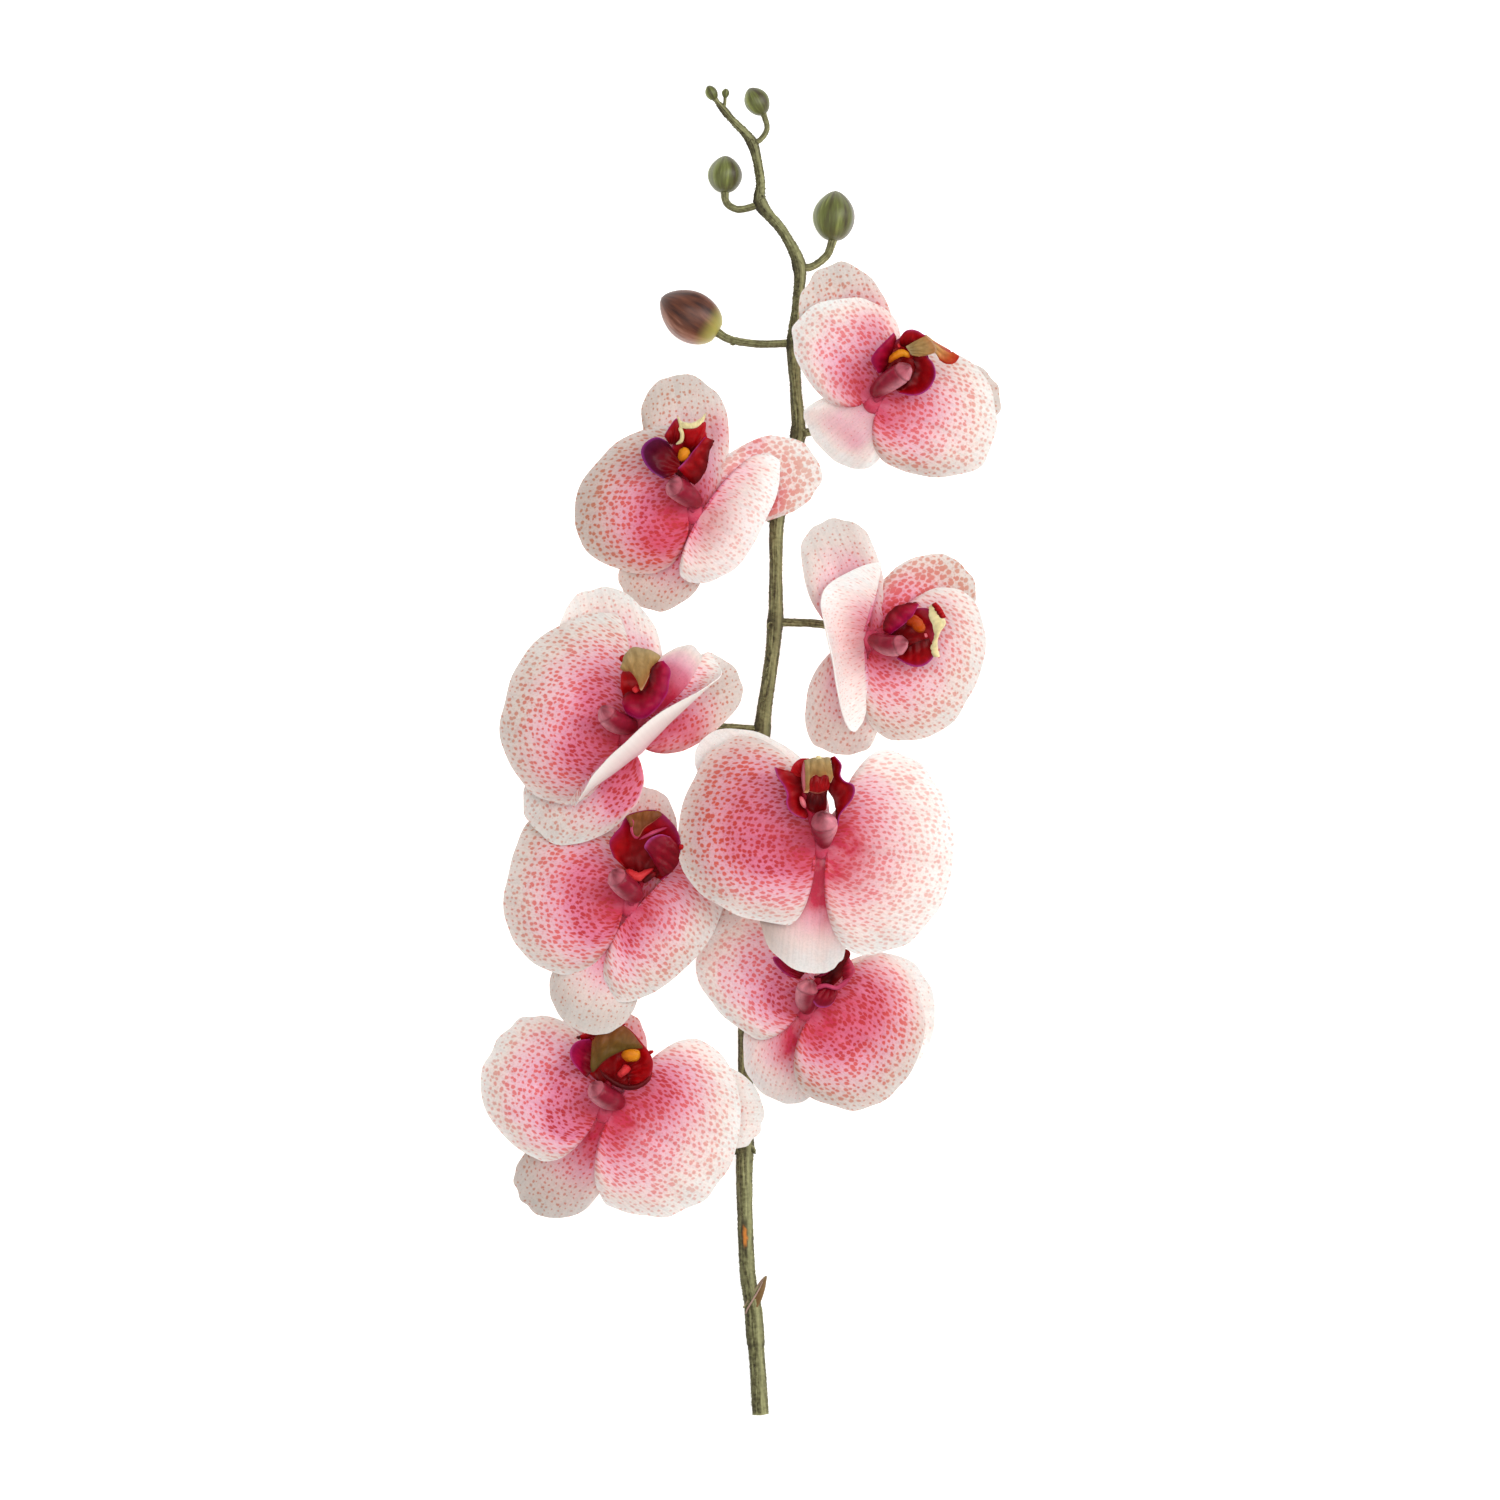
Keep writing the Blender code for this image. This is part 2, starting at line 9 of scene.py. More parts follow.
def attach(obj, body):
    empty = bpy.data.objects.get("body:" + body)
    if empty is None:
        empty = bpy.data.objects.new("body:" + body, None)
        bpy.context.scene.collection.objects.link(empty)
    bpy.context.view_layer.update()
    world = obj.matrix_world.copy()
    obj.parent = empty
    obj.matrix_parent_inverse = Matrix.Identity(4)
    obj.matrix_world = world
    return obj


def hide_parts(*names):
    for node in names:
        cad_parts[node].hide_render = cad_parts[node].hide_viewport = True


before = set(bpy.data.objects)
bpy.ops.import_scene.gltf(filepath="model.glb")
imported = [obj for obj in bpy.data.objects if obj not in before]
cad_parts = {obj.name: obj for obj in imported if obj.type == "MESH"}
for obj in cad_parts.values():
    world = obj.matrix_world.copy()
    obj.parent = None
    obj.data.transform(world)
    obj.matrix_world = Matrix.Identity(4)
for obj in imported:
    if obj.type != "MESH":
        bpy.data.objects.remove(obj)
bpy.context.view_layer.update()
mm = 0.001  # sizes and places below are in millimetres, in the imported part's own frame


# Small helpers

def hexColour(code):
    parts = [int(code[i:i + 2], 16) / 255 for i in (1, 3, 5)]
    linear = [p / 12.92 if p <= 0.04045 else ((p + 0.055) / 1.055) ** 2.4 for p in parts]
    return (*linear, 1.0)


def ramp(*stops):
    return {"stops": [(place, hexColour(code)) for place, code in stops]}


def greyRamp(*stops):
    return {"stops": [(place, (value, value, value, 1.0)) for place, value in stops]}


def addNode(tree, kind, settings=None, links=None):
    # settings name sockets or attributes, and stops fill a colour ramp. links go from a socket or
    # a node, which is read at its main result, to the named socket
    made = tree.nodes.new("ShaderNode" + kind)
    for key, value in (settings or {}).items():
        if key == "stops":
            while len(made.color_ramp.elements) < len(value):
                made.color_ramp.elements.new(0.5)
            for element, (place, colour) in zip(made.color_ramp.elements, value):
                element.position = place
                element.color = colour
        elif isinstance(key, int) or key in made.inputs:
            made.inputs[key].default_value = value
        else:
            setattr(made, key, value)
    for key, source in (links or {}).items():
        if isinstance(source, bpy.types.Node):
            source = source.outputs[2 if source.bl_idname == "ShaderNodeMix" else 0]
        tree.links.new(source, made.inputs[key])
    return made


def newMaterial(name, sockets):
    material = bpy.data.materials.new(name)
    material.use_nodes = True
    shader = material.node_tree.nodes["Principled BSDF"]
    for key, value in sockets.items():
        shader.inputs[key].default_value = value
    return material, material.node_tree, shader


def newObject(name, data):
    made = bpy.data.objects.new(name, data)
    bpy.context.scene.collection.objects.link(made)
    return made


def meshFrom(name, bm, materials=()):
    mesh = bpy.data.meshes.new(name)
    bm.to_mesh(mesh)
    bm.free()
    for material in materials:
        mesh.materials.append(material)
    return mesh


def smooth(low, high, value):
    # eases from 0 at low to 1 at high, which may lie below low
    t = min(1.0, max(0.0, (value - low) / (high - low)))
    return t * t * (3 - 2 * t)


def mixed(low, high, share):
    return low + (high - low) * share


def hump(distance, width):
    return math.exp(-(distance / width) ** 2)


def ripple(x, y, z, size):
    return noise.noise(Vector((x, y, z)) / size)


# Camera and light, as the photograph was taken: straight from in front of the blooms

view = {"centre": (1.98, 0.90), "width": 540.0, "distance": 4000.0}
cameraData = bpy.data.cameras.new("camera")
cameraData.sensor_width = 36.0
cameraData.lens = cameraData.sensor_width * view["distance"] / view["width"]
cameraData.clip_start = 0.1
cameraData.clip_end = 50.0
camera = newObject("camera", cameraData)
camera.location = (view["centre"][0] * mm, view["centre"][1] * mm, (view["distance"] + 10.0) * mm)
bpy.context.scene.camera = camera
bpy.context.scene.view_settings.view_transform = "Standard"

lights = {
    "key": {"place": (1.9, 0.8, 1.6), "size": 1.9, "watts": 33.0},
    "top": {"place": (0.1, 0.4, 2.4), "size": 2.8, "watts": 35.5},
    "fill": {"place": (-1.6, -0.9, 1.5), "size": 1.8, "watts": 3.0},
}
skyStrength = 0.42
for name, spec in lights.items():
    data = bpy.data.lights.new(name, "AREA")
    data.shape = "DISK"
    data.size = spec["size"]
    data.energy = spec["watts"]
    lamp = newObject(name, data)
    lamp.location = spec["place"]
    lamp.rotation_euler = Vector(spec["place"]).to_track_quat("Z", "Y").to_euler()
world = bpy.data.worlds.new("studio")
world.use_nodes = True
world.node_tree.nodes["Background"].inputs["Color"].default_value = (1.0, 1.0, 1.0, 1.0)
world.node_tree.nodes["Background"].inputs["Strength"].default_value = skyStrength
bpy.context.scene.world = world


# The floor

floorLook = {"size": 6.0, "colour": "#f6f6f4", "glow": 0.62}


def paperWhite():
    # seamless background paper: matt white, lit from behind a little so that it reads as pure white
    return newMaterial("paperWhite", {
        "Base Color": hexColour(floorLook["colour"]), "Roughness": 0.9, "Specular IOR Level": 0.1,
        "Emission Color": (1.0, 1.0, 1.0, 1.0), "Emission Strength": floorLook["glow"]})[0]


bm = bmesh.new()
bmesh.ops.create_grid(bm, x_segments=1, y_segments=1, size=floorLook["size"])
floor = newObject("floor", meshFrom("floor", bm, (paperWhite(),)))
print("camera, light and floor made")


# Sheets: a sepal, petal or lobe is a fan of lines from its foot to its margin

sheet = {
    "foot": 2.4,  # distance from the centre to the start of the fan
    "claw": 2.0,  # half the width there
    "fanTurn": math.radians(166),
    "backFall": 0.8,
    "archSpan": 0.8,
    "archAtSides": 0.4,
    "bendPower": 1.6,
    "rimPower": 1.5,
    "scallopTurn": 9.0,
    "scallopSize": 3.2,
    "ribWidth": 2.2,
    "ribFade": (0.45, 0.9),
    "curlAtEnds": 0.5,
    "gather": 0.85,
    "veinSpread": (1.6, 0.87),
    "restHeight": 0.35,
}


def blade(aim, reach, left, right, drop=0.0, lift=(0.0, 0.0), curl=None, **look):
    # aim in degrees from +X; left and right are (half width, distance out where it is widest);
    # curl is (distance out where it starts, radius)
    return {"aim": aim, "reach": reach, "left": left, "right": right, "drop": drop, "lift": lift,
            "curl": curl, "point": 1.0, "look": look}


def marginPoint(spec, turn):
    half, station = spec["left"] if turn > 0 else spec["right"]
    swing = abs(turn)
    if swing <= math.pi / 2:
        out = station + (spec["reach"] - station) * math.cos(swing)
        across = half * math.sin(swing) ** spec["point"]
    else:
        back = swing - math.pi / 2
        # where the widest place lies behind the foot, the margin runs nearly straight back to it
        fall = math.cos(back) ** sheet["backFall"] if station < sheet["foot"] else 1 - math.sin(back)
        out = sheet["foot"] + (station - sheet["foot"]) * fall
        across = sheet["claw"] + (half - sheet["claw"]) * math.cos(back)
    return out, across if turn > 0 else -across


def bladePlace(spec, acrossShare, outShare, form):
    turn = sheet["fanTurn"] * acrossShare
    marginOut, marginSide = marginPoint(spec, turn)
    scallops = ripple(math.cos(turn) * sheet["scallopTurn"], math.sin(turn) * sheet["scallopTurn"],
                      form["seed"], sheet["scallopSize"])
    edge = outShare * (1 + form["scallop"] * scallops * outShare ** 3)
    out = sheet["foot"] + (marginOut - sheet["foot"]) * edge
    side = sheet["claw"] * acrossShare + (marginSide - sheet["claw"] * acrossShare) * edge
    flat = (out, side)
    tipward = max(0.0, math.cos(turn)) ** 2
    sideward = math.sin(turn) ** 2
    lift = spec["lift"][0] if turn > 0 else spec["lift"][1]
    up = form["arch"] * math.sin(math.pi * sheet["archSpan"] * outShare)
    up *= mixed(sheet["archAtSides"], 1.0, tipward)
    up += (lift * sideward - spec["drop"] * tipward) * outShare ** sheet["bendPower"]
    up += form["ruffle"] * outShare ** 2 * ripple(out, side, form["seed"] * 7.0, form["ruffleSize"])
    up -= form["rim"] * smooth(form["rimFrom"], 1.0, outShare) ** sheet["rimPower"]
    rib = form["rib"] * hump(side, sheet["ribWidth"])
    up -= rib * (1 - smooth(*sheet["ribFade"], outShare)) * min(1.0, outShare * 6)
    if spec["curl"]:
        start, radius = spec["curl"]
        # it rolls tighter towards its two ends
        radius *= mixed(sheet["curlAtEnds"], 1.0, max(0.0, math.cos(turn)))
        if out > start:
            angle = (out - start) / radius
            rolled = radius - up
            up = radius - rolled * math.cos(angle)
            out = start + rolled * math.sin(angle)
    return Vector((out, side, up)), turn, flat


def threeWay(values, turn):
    # (left, tip, right) values spread over the turn of the fan, or one value for all of it
    if not isinstance(values, tuple):
        return values
    tipward = max(0.0, math.cos(turn)) ** 2
    return mixed(values[0] if turn > 0 else values[2], values[1], tipward)


def pointLayers(bm):
    # what the materials read at each point: its colour shares, and its place along the veins
    tint = bm.verts.layers.float_color.get("tint") or bm.verts.layers.float_color.new("tint")
    return tint, bm.verts.layers.float_vector.get("vein") or bm.verts.layers.float_vector.new("vein")


def addSheet(bm, spec, foot, turned, form, paint):
    # lays one sheet into the bmesh: a grid bent to its place, with its colour shares on each point
    tint, vein = pointLayers(bm)
    rims = bm.verts.layers.deform.verify()
    spread, power = sheet["veinSpread"]
    columns, rows = form["steps"]
    grid = bmesh.ops.create_grid(bm, x_segments=columns, y_segments=rows, size=1.0)
    for vert in grid["verts"]:
        # lines of the grid gather towards the margin
        outShare = ((vert.co.y + 1) / 2) ** sheet["gather"]
        place, turn, flat = bladePlace(spec, -vert.co.x, outShare, form)
        distance = math.hypot(flat[0] - sheet["foot"], flat[1])
        heading = math.atan2(flat[1], flat[0] - sheet["foot"] + 0.01)
        vert[vein] = Vector((heading * spread * max(distance, 0.5) ** power, distance, form["seed"] * 10))
        vert[rims][0] = mixed(1.0, form["rimThin"], smooth(0.9, 1.0, outShare))
        spot = foot + turned @ place
        spot.z = max(spot.z, sheet["restHeight"])
        vert[tint] = paint(spec, turn, outShare, distance, spot)
        vert.co = spot * mm


def smoothLine(points, steps):
    # a smooth line through the points, with the given number of steps from each to the next
    rows = [Vector(p) for p in points]
    rows = [2 * rows[0] - rows[1]] + rows + [2 * rows[-1] - rows[-2]]
    line = []
    for i in range(1, len(rows) - 2):
        before, start, end, after = rows[i - 1:i + 3]
        for k in range(steps):
            t = k / steps
            line.append(start + 0.5 * t * (end - before)
                        + t * t * (before - 2.5 * start + 2 * end - 0.5 * after)
                        + t ** 3 * (1.5 * (start - end) + 0.5 * (after - before)))
    line.append(rows[-2])
    return line


def smoothValues(values, steps):
    return [place.x for place in smoothLine([(value, 0, 0) for value in values], steps)]


def lengthsAlong(line):
    lengths = [0.0]
    for start, end in zip(line, line[1:]):
        lengths.append(lengths[-1] + (end - start).length)
    return lengths


def evenLine(points, count):
    # count + 1 places spaced evenly along the smooth line through the points
    line = smoothLine(points, 12)
    lengths = lengthsAlong(line)
    places = []
    k = 0
    for i in range(count + 1):
        goal = lengths[-1] * i / count
        while k < len(line) - 2 and lengths[k + 1] < goal:
            k += 1
        share = (goal - lengths[k]) / max(lengths[k + 1] - lengths[k], 0.0001)
        places.append(line[k].lerp(line[k + 1], min(1.0, share)))
    return places


def addLobe(bm, spec, lift, form, paint):
    # lays a sheet between the two edges of a lobe, bulged by its arch, with its face to the front
    tint, vein = pointLayers(bm)
    rims = bm.verts.layers.deform.verify()
    columns, rows = form["steps"]
    inner = evenLine(spec["inner"], columns)
    outer = evenLine(spec["outer"], columns)
    grid = bmesh.ops.create_grid(bm, x_segments=columns, y_segments=rows, size=1.0)
    for vert in grid["verts"]:
        i = round((vert.co.x + 1) / 2 * columns)
        out = (vert.co.y + 1) / 2
        ends = math.sin(math.pi * i / columns)
        bulge = math.sin(math.pi * out)
        spot = inner[i].lerp(outer[i], out)
        spot.z += lift + spec["arch"] * bulge * ends ** 0.5
        fold = ripple(spot.x, spot.y, form["seed"] * 7.0, form["ruffleSize"])
        crease = math.cos(i * form["creases"] * math.pi * 2 / columns + form["seed"] * 3)
        spot.z += (form["ruffle"] * fold + form["crease"] * crease * (1 - out)) * bulge ** 0.5
        vert[tint] = paint(spec["coat"], out, i / columns)
        vert[vein] = Vector((i * form["veinStep"], out * (outer[i] - inner[i]).length, form["seed"] * 10))
        vert[rims][0] = mixed(1.0, form["rimThin"], max(smooth(0.85, 1.0, out), smooth(0.2, 0.0, ends)))
        vert.co = spot * mm
    faces = list({face for vert in grid["verts"] for face in vert.link_faces})
    for face in faces:
        face.normal_update()
    if sum(face.normal.z * face.calc_area() for face in faces) < 0:
        bmesh.ops.reverse_faces(bm, faces=faces)


def addWalls(bm, sheets, thickness, materials, underside):
    # gives the open sheets their real thickness, less at their rims, and adds them to the bmesh.
    # underside is the place in the list of the material for their backs
    mesh = meshFrom("sheets", sheets, materials)
    source = newObject("sheets", mesh)
    source.vertex_groups.new(name="rim")
    wall = source.modifiers.new("wall", "SOLIDIFY")
    wall.thickness = thickness * mm
    wall.offset = 0.0
    wall.use_quality_normals = True
    wall.vertex_group = "rim"
    wall.thickness_vertex_group = 0.0
    wall.material_offset = underside
    wall.material_offset_rim = 0
    depsgraph = bpy.context.evaluated_depsgraph_get()
    closed = bpy.data.meshes.new_from_object(source.evaluated_get(depsgraph))
    bm.from_mesh(closed)
    bpy.data.objects.remove(source)
    bpy.data.meshes.remove(mesh)
    bpy.data.meshes.remove(closed)


def setOut(name, bm, materials, node, slot, sharp=None):
    # one finished piece: shaded, riding on the part, in the place of its CAD node
    mesh = meshFrom(name, bm, materials)
    mesh.shade_smooth()
    if sharp:
        mesh.set_sharp_from_angle(angle=math.radians(sharp))
    piece = newObject(name, mesh)
    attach(piece, "root")
    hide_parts(node)


# Rolled bodies: a grid rolled round a line, for stems, buds, columns and small limbs

def addRoll(bm, line, radiusAt, sides, paint, up=Vector((0, 0, 1))):
    # radiusAt and paint take (angle, share along, place); both ends close to a point
    tint, vein = pointLayers(bm)
    count = len(line) - 1
    grid = bmesh.ops.create_grid(bm, x_segments=sides, y_segments=count, size=1.0)
    lengths = lengthsAlong(line)
    axes = []
    ahead = (line[1] - line[0]).normalized()
    over = up - ahead * up.dot(ahead)
    if over.length < 0.05:
        over = Vector((0, 1, 0)) - ahead * ahead.y
    over.normalize()
    for i in range(count + 1):
        ahead = (line[min(i + 1, count)] - line[max(i - 1, 0)]).normalized()
        over = (over - ahead * over.dot(ahead)).normalized()
        axes.append((over, over.cross(ahead)))
    for vert in grid["verts"]:
        i = round((vert.co.y + 1) / 2 * count)
        angle = math.pi * vert.co.x
        along = lengths[i] / lengths[-1]
        over, aside = axes[i]
        around = over * math.cos(angle) + aside * math.sin(angle)
        radius = 0.0 if i in (0, count) else radiusAt(angle, along, line[i])
        vert[tint] = paint(angle, along, line[i])
        vert[vein] = Vector((angle * 3.0, lengths[i], 0.0))
        vert.co = (line[i] + around * radius) * mm
    bmesh.ops.remove_doubles(bm, verts=grid["verts"], dist=0.01 * mm)


def facing(aim):
    return Matrix.Rotation(math.radians(aim), 3, "Z")


def leftOf(angle):
    # how far a point of a rolled stem lies to its left side
    return max(0.0, math.sin(angle))


# Materials of living tissue. Each reads two attributes of its piece: tint, which holds shares or
# a colour laid on by formula, and vein, in millimetres: across the veins and along them

tissueForm = {"refraction": 1.42, "lightDepth": 1.2}


def tissue(name, roughness, softness, lightReach, sockets=None):
    # softness is the share of light that goes in, and lightReach how far its red, green and blue go
    material, tree, shader = newMaterial(name, {
        "Roughness": roughness, "IOR": tissueForm["refraction"],
        "Subsurface Weight": softness, "Subsurface Radius": lightReach,
        "Subsurface Scale": tissueForm["lightDepth"] * mm, **(sockets or {})})
    tint = addNode(tree, "Attribute", {"attribute_name": "tint"})
    vein = addNode(tree, "Attribute", {"attribute_name": "vein"})
    return material, tree, shader, tint, vein.outputs["Vector"]


def strands(tree, vein, across, along, detail):
    # a soft pattern drawn out along the veins, with so many marks to the millimetre across and along them
    stretched = addNode(tree, "Mapping", {"Scale": (across, along, 1.0)}, {"Vector": vein})
    return addNode(tree, "TexNoise", {"Scale": 1.0, "Detail": detail}, {"Vector": stretched})


def finishTissue(tree, shader, colour, relief, depth, strength):
    bump = addNode(tree, "Bump", {"Strength": strength, "Distance": depth * mm}, {"Height": relief})
    tree.links.new(colour.outputs[2], shader.inputs["Base Color"])
    tree.links.new(bump.outputs[0], shader.inputs["Normal"])


petalLook = {
    "ground": ((0.0, "#dc809f"), (0.3, "#eab1c5"), (0.6, "#eecbd0"), (0.82, "#efe0d9"), (1.0, "#eceae6")),
    # shade is the grey-brown of painted shade, laid on margins that turn from the light
    "shade": "#a8978a",
    "throat": "#c62045",
    "dots": ((0.0, "#b60f1c"), (0.25, "#dc4440"), (0.6, "#dc4440"), (1.0, "#d68771")),
    "dotsInShade": "#96602f",
    "dotsInThroat": "#b60f1c",
    "dotSpacing": 2.1,
    "fineSpacing": 1.25,
    "veinWidth": 1.1,
}


def petalDots(tree, vein, amount, throat):
    # speckles in rows along the veins: one grows with its own chance and towards the throat
    wobble = addNode(tree, "TexNoise", {"Scale": 0.5, "Detail": 2.0}, {"Vector": vein})
    bent = addNode(tree, "VectorMath", {"operation": "MULTIPLY_ADD", 1: (1.5, 1.5, 0.0)},
                   {0: wobble.outputs["Color"], 2: vein})
    perDot = 1 / petalLook["dotSpacing"]
    cells = addNode(tree, "Mapping", {"Scale": (perDot, perDot, 1.0)}, {"Vector": bent})
    speck = addNode(tree, "TexVoronoi", {"voronoi_dimensions": "2D", "Scale": 1.0, "Randomness": 0.66},
                    {"Vector": cells})
    chance = addNode(tree, "SeparateColor", links={0: speck.outputs["Color"]})
    size = addNode(tree, "Math", {"operation": "MULTIPLY_ADD", 1: 0.18, 2: 0.285}, {0: chance})
    # there are more of them in some patches than in others
    patch = addNode(tree, "TexNoise", {"Scale": 0.11, "Detail": 2.0}, {"Vector": vein})
    often = addNode(tree, "Math", {"operation": "MULTIPLY_ADD", 1: 0.7, 2: 0.65}, {0: patch})
    amount = addNode(tree, "Math", {"operation": "MULTIPLY"}, {0: amount, 1: often})
    size = addNode(tree, "Math", {"operation": "MULTIPLY"}, {0: size, 1: amount})
    size = addNode(tree, "Math", {"operation": "MULTIPLY_ADD", 1: 0.09}, {0: throat, 2: size})
    # finer and fainter speckles between them
    grain = addNode(tree, "TexVoronoi", {"voronoi_dimensions": "2D", "Scale": 1 / petalLook["fineSpacing"],
                                         "Randomness": 0.9}, {"Vector": bent})
    fineSize = addNode(tree, "Math", {"operation": "MULTIPLY", 1: 0.30}, {0: amount})
    masks = []
    for cell, radius, sharpness, weight in ((speck, size, 6.0, 1.0), (grain, fineSize, 3.0, 0.55)):
        inside = addNode(tree, "Math", {"operation": "SUBTRACT"}, {0: radius, 1: cell.outputs["Distance"]})
        mask = addNode(tree, "Math", {"operation": "MULTIPLY", "use_clamp": True, 1: sharpness}, {0: inside})
        masks.append(addNode(tree, "Math", {"operation": "MULTIPLY", 1: weight}, {0: mask}))
    return addNode(tree, "Math", {"operation": "MAXIMUM"}, dict(enumerate(masks)))


def petalTissue():
    # living petal: soft satin skin over cells that let light in, speckled and finely veined
    look = petalLook
    material, tree, shader, tint, vein = tissue(
        "petalTissue", 0.55, 0.15, (1.0, 0.45, 0.35), {"Sheen Weight": 0.08, "Sheen Roughness": 0.5})
    shares = addNode(tree, "SeparateColor", links={0: tint}).outputs
    cloud = addNode(tree, "TexNoise", {"Scale": 0.16, "Detail": 3.0}, {"Vector": vein})
    drift = addNode(tree, "Math", {"operation": "MULTIPLY_ADD", 1: 0.5, 2: -0.25}, {0: cloud})
    paler = addNode(tree, "Math", {"operation": "ADD", "use_clamp": True}, {0: shares[0], 1: drift})
    broken = addNode(tree, "Math", {"operation": "MULTIPLY_ADD", 1: 1.3, 2: 0.25}, {0: cloud})
    throat = addNode(tree, "Math", {"operation": "MULTIPLY", "use_clamp": True}, {0: shares[1], 1: broken})
    ground = addNode(tree, "ValToRGB", ramp(*look["ground"]), {0: paler})
    dots = addNode(tree, "ValToRGB", ramp(*look["dots"]), {0: paler})
    # painted shade: where the shade share lies, the ground greys and the speckles turn brown
    for share, onGround, onDots in ((shares[2], "shade", "dotsInShade"), (throat, "throat", "dotsInThroat")):
        ground = addNode(tree, "Mix", {"data_type": "RGBA", 7: hexColour(look[onGround])},
                         {0: share, 6: ground})
        dots = addNode(tree, "Mix", {"data_type": "RGBA", 7: hexColour(look[onDots])}, {0: share, 6: dots})
    lines = strands(tree, vein, 1 / look["veinWidth"], 0.035, 3.0)
    net = addNode(tree, "TexNoise", {"Scale": 1.4, "Detail": 2.0}, {"Vector": vein})
    both = addNode(tree, "Math", {"operation": "ADD"}, {0: lines, 1: net})
    both = addNode(tree, "Math", {"operation": "MULTIPLY", 1: 0.5}, {0: both})
    lineShade = addNode(tree, "ValToRGB", greyRamp((0.4, 0.88), (0.56, 1.03)), {0: both})
    ground = addNode(tree, "Mix", {"data_type": "RGBA", "blend_type": "MULTIPLY", 0: 0.7},
                     {6: ground, 7: lineShade})
    # the speckles fade where the petal pales, and hold where it is in shade
    strength = addNode(tree, "Math", {"operation": "MULTIPLY_ADD", 1: -0.5, 2: 0.95}, {0: paler})
    strength = addNode(tree, "Math", {"operation": "MULTIPLY_ADD", "use_clamp": True, 1: 0.5},
                       {0: shares[2], 2: strength})
    mask = petalDots(tree, vein, tint.outputs["Alpha"], shares[1])
    cover = addNode(tree, "Math", {"operation": "MULTIPLY"}, {0: mask, 1: strength})
    colour = addNode(tree, "Mix", {"data_type": "RGBA"}, {0: cover, 6: ground, 7: dots})
    relief = addNode(tree, "Math", {"operation": "MULTIPLY_ADD", 1: 1.4}, {0: cloud, 2: lines})
    finishTissue(tree, shader, colour, relief, 0.5, 0.25)
    return material


petalBackLook = {"ground": ((0.0, "#e6bcbf"), (0.4, "#ecd8d3"), (1.0, "#efe9e1")), "throat": "#d8708a"}


def petalBack():
    # the under face of the same tissue: no speckles, cream with a blush at the foot, fine veins
    look = petalBackLook
    material, tree, shader, tint, vein = tissue("petalBack", 0.6, 0.15, (1.0, 0.5, 0.4))
    shares = addNode(tree, "SeparateColor", links={0: tint}).outputs
    ground = addNode(tree, "ValToRGB", ramp(*look["ground"]), {0: shares[0]})
    ground = addNode(tree, "Mix", {"data_type": "RGBA", 7: hexColour(look["throat"])},
                     {0: shares[1], 6: ground})
    lines = strands(tree, vein, 0.8, 0.035, 3.0)
    lineShade = addNode(tree, "ValToRGB", greyRamp((0.35, 0.95), (0.6, 1.0)), {0: lines})
    colour = addNode(tree, "Mix", {"data_type": "RGBA", "blend_type": "MULTIPLY", 0: 0.7},
                     {6: ground, 7: lineShade})
    finishTissue(tree, shader, colour, lines, 0.4, 0.08)
    return material


# the flesh of lips and columns: mottle is how much its clouds darken it, and cast shifts its colour
fleshLooks = {
    "lipInside": {"roughness": 0.4, "softness": 0.03, "coat": 0.04, "mottle": 0.24,
                  "cast": "#a01240", "castShare": 0.0},
    "lipOutside": {"roughness": 0.45, "softness": 0.05, "coat": 0.04, "mottle": 0.25,
                   "cast": "#a8225c", "castShare": 0.35},
    "columnFlesh": {"roughness": 0.33, "softness": 0.10, "coat": 0.12, "mottle": 0.3,
                    "cast": "#a01240", "castShare": 0.0},
}


def waxyFlesh(name):
    # waxy flesh: its colour lies on its points, mottled and faintly ribbed, under a thin wet gloss
    look = fleshLooks[name]
    material, tree, shader, tint, vein = tissue(
        name, look["roughness"], look["softness"], (1.0, 0.25, 0.2),
        {"Specular IOR Level": 0.15, "Coat Weight": look["coat"], "Coat Roughness": 0.12})
    cloud = addNode(tree, "TexNoise", {"Scale": 0.45, "Detail": 4.0}, {"Vector": vein})
    both = addNode(tree, "Math", {"operation": "ADD"}, {0: cloud, 1: strands(tree, vein, 0.8, 0.55, 3.0)})
    both = addNode(tree, "Math", {"operation": "MULTIPLY", 1: 0.5}, {0: both})
    shading = addNode(tree, "ValToRGB", greyRamp((0.38, 1.0 - look["mottle"]), (0.6, 1.0)), {0: both})
    base = addNode(tree, "Mix", {"data_type": "RGBA", 0: look["castShare"], 7: hexColour(look["cast"])},
                   {6: tint.outputs["Color"]})
    colour = addNode(tree, "Mix", {"data_type": "RGBA", "blend_type": "MULTIPLY", 0: 1.0},
                     {6: base, 7: shading})
    finishTissue(tree, shader, colour, both, 0.4, 0.25)
    return material


stemLook = {"dark": "#2a210b", "body": "#595630", "light": "#a3a272", "scar": "#c87a30", "pink": "#b08a80",
            "sheen": "#c9c7a0"}


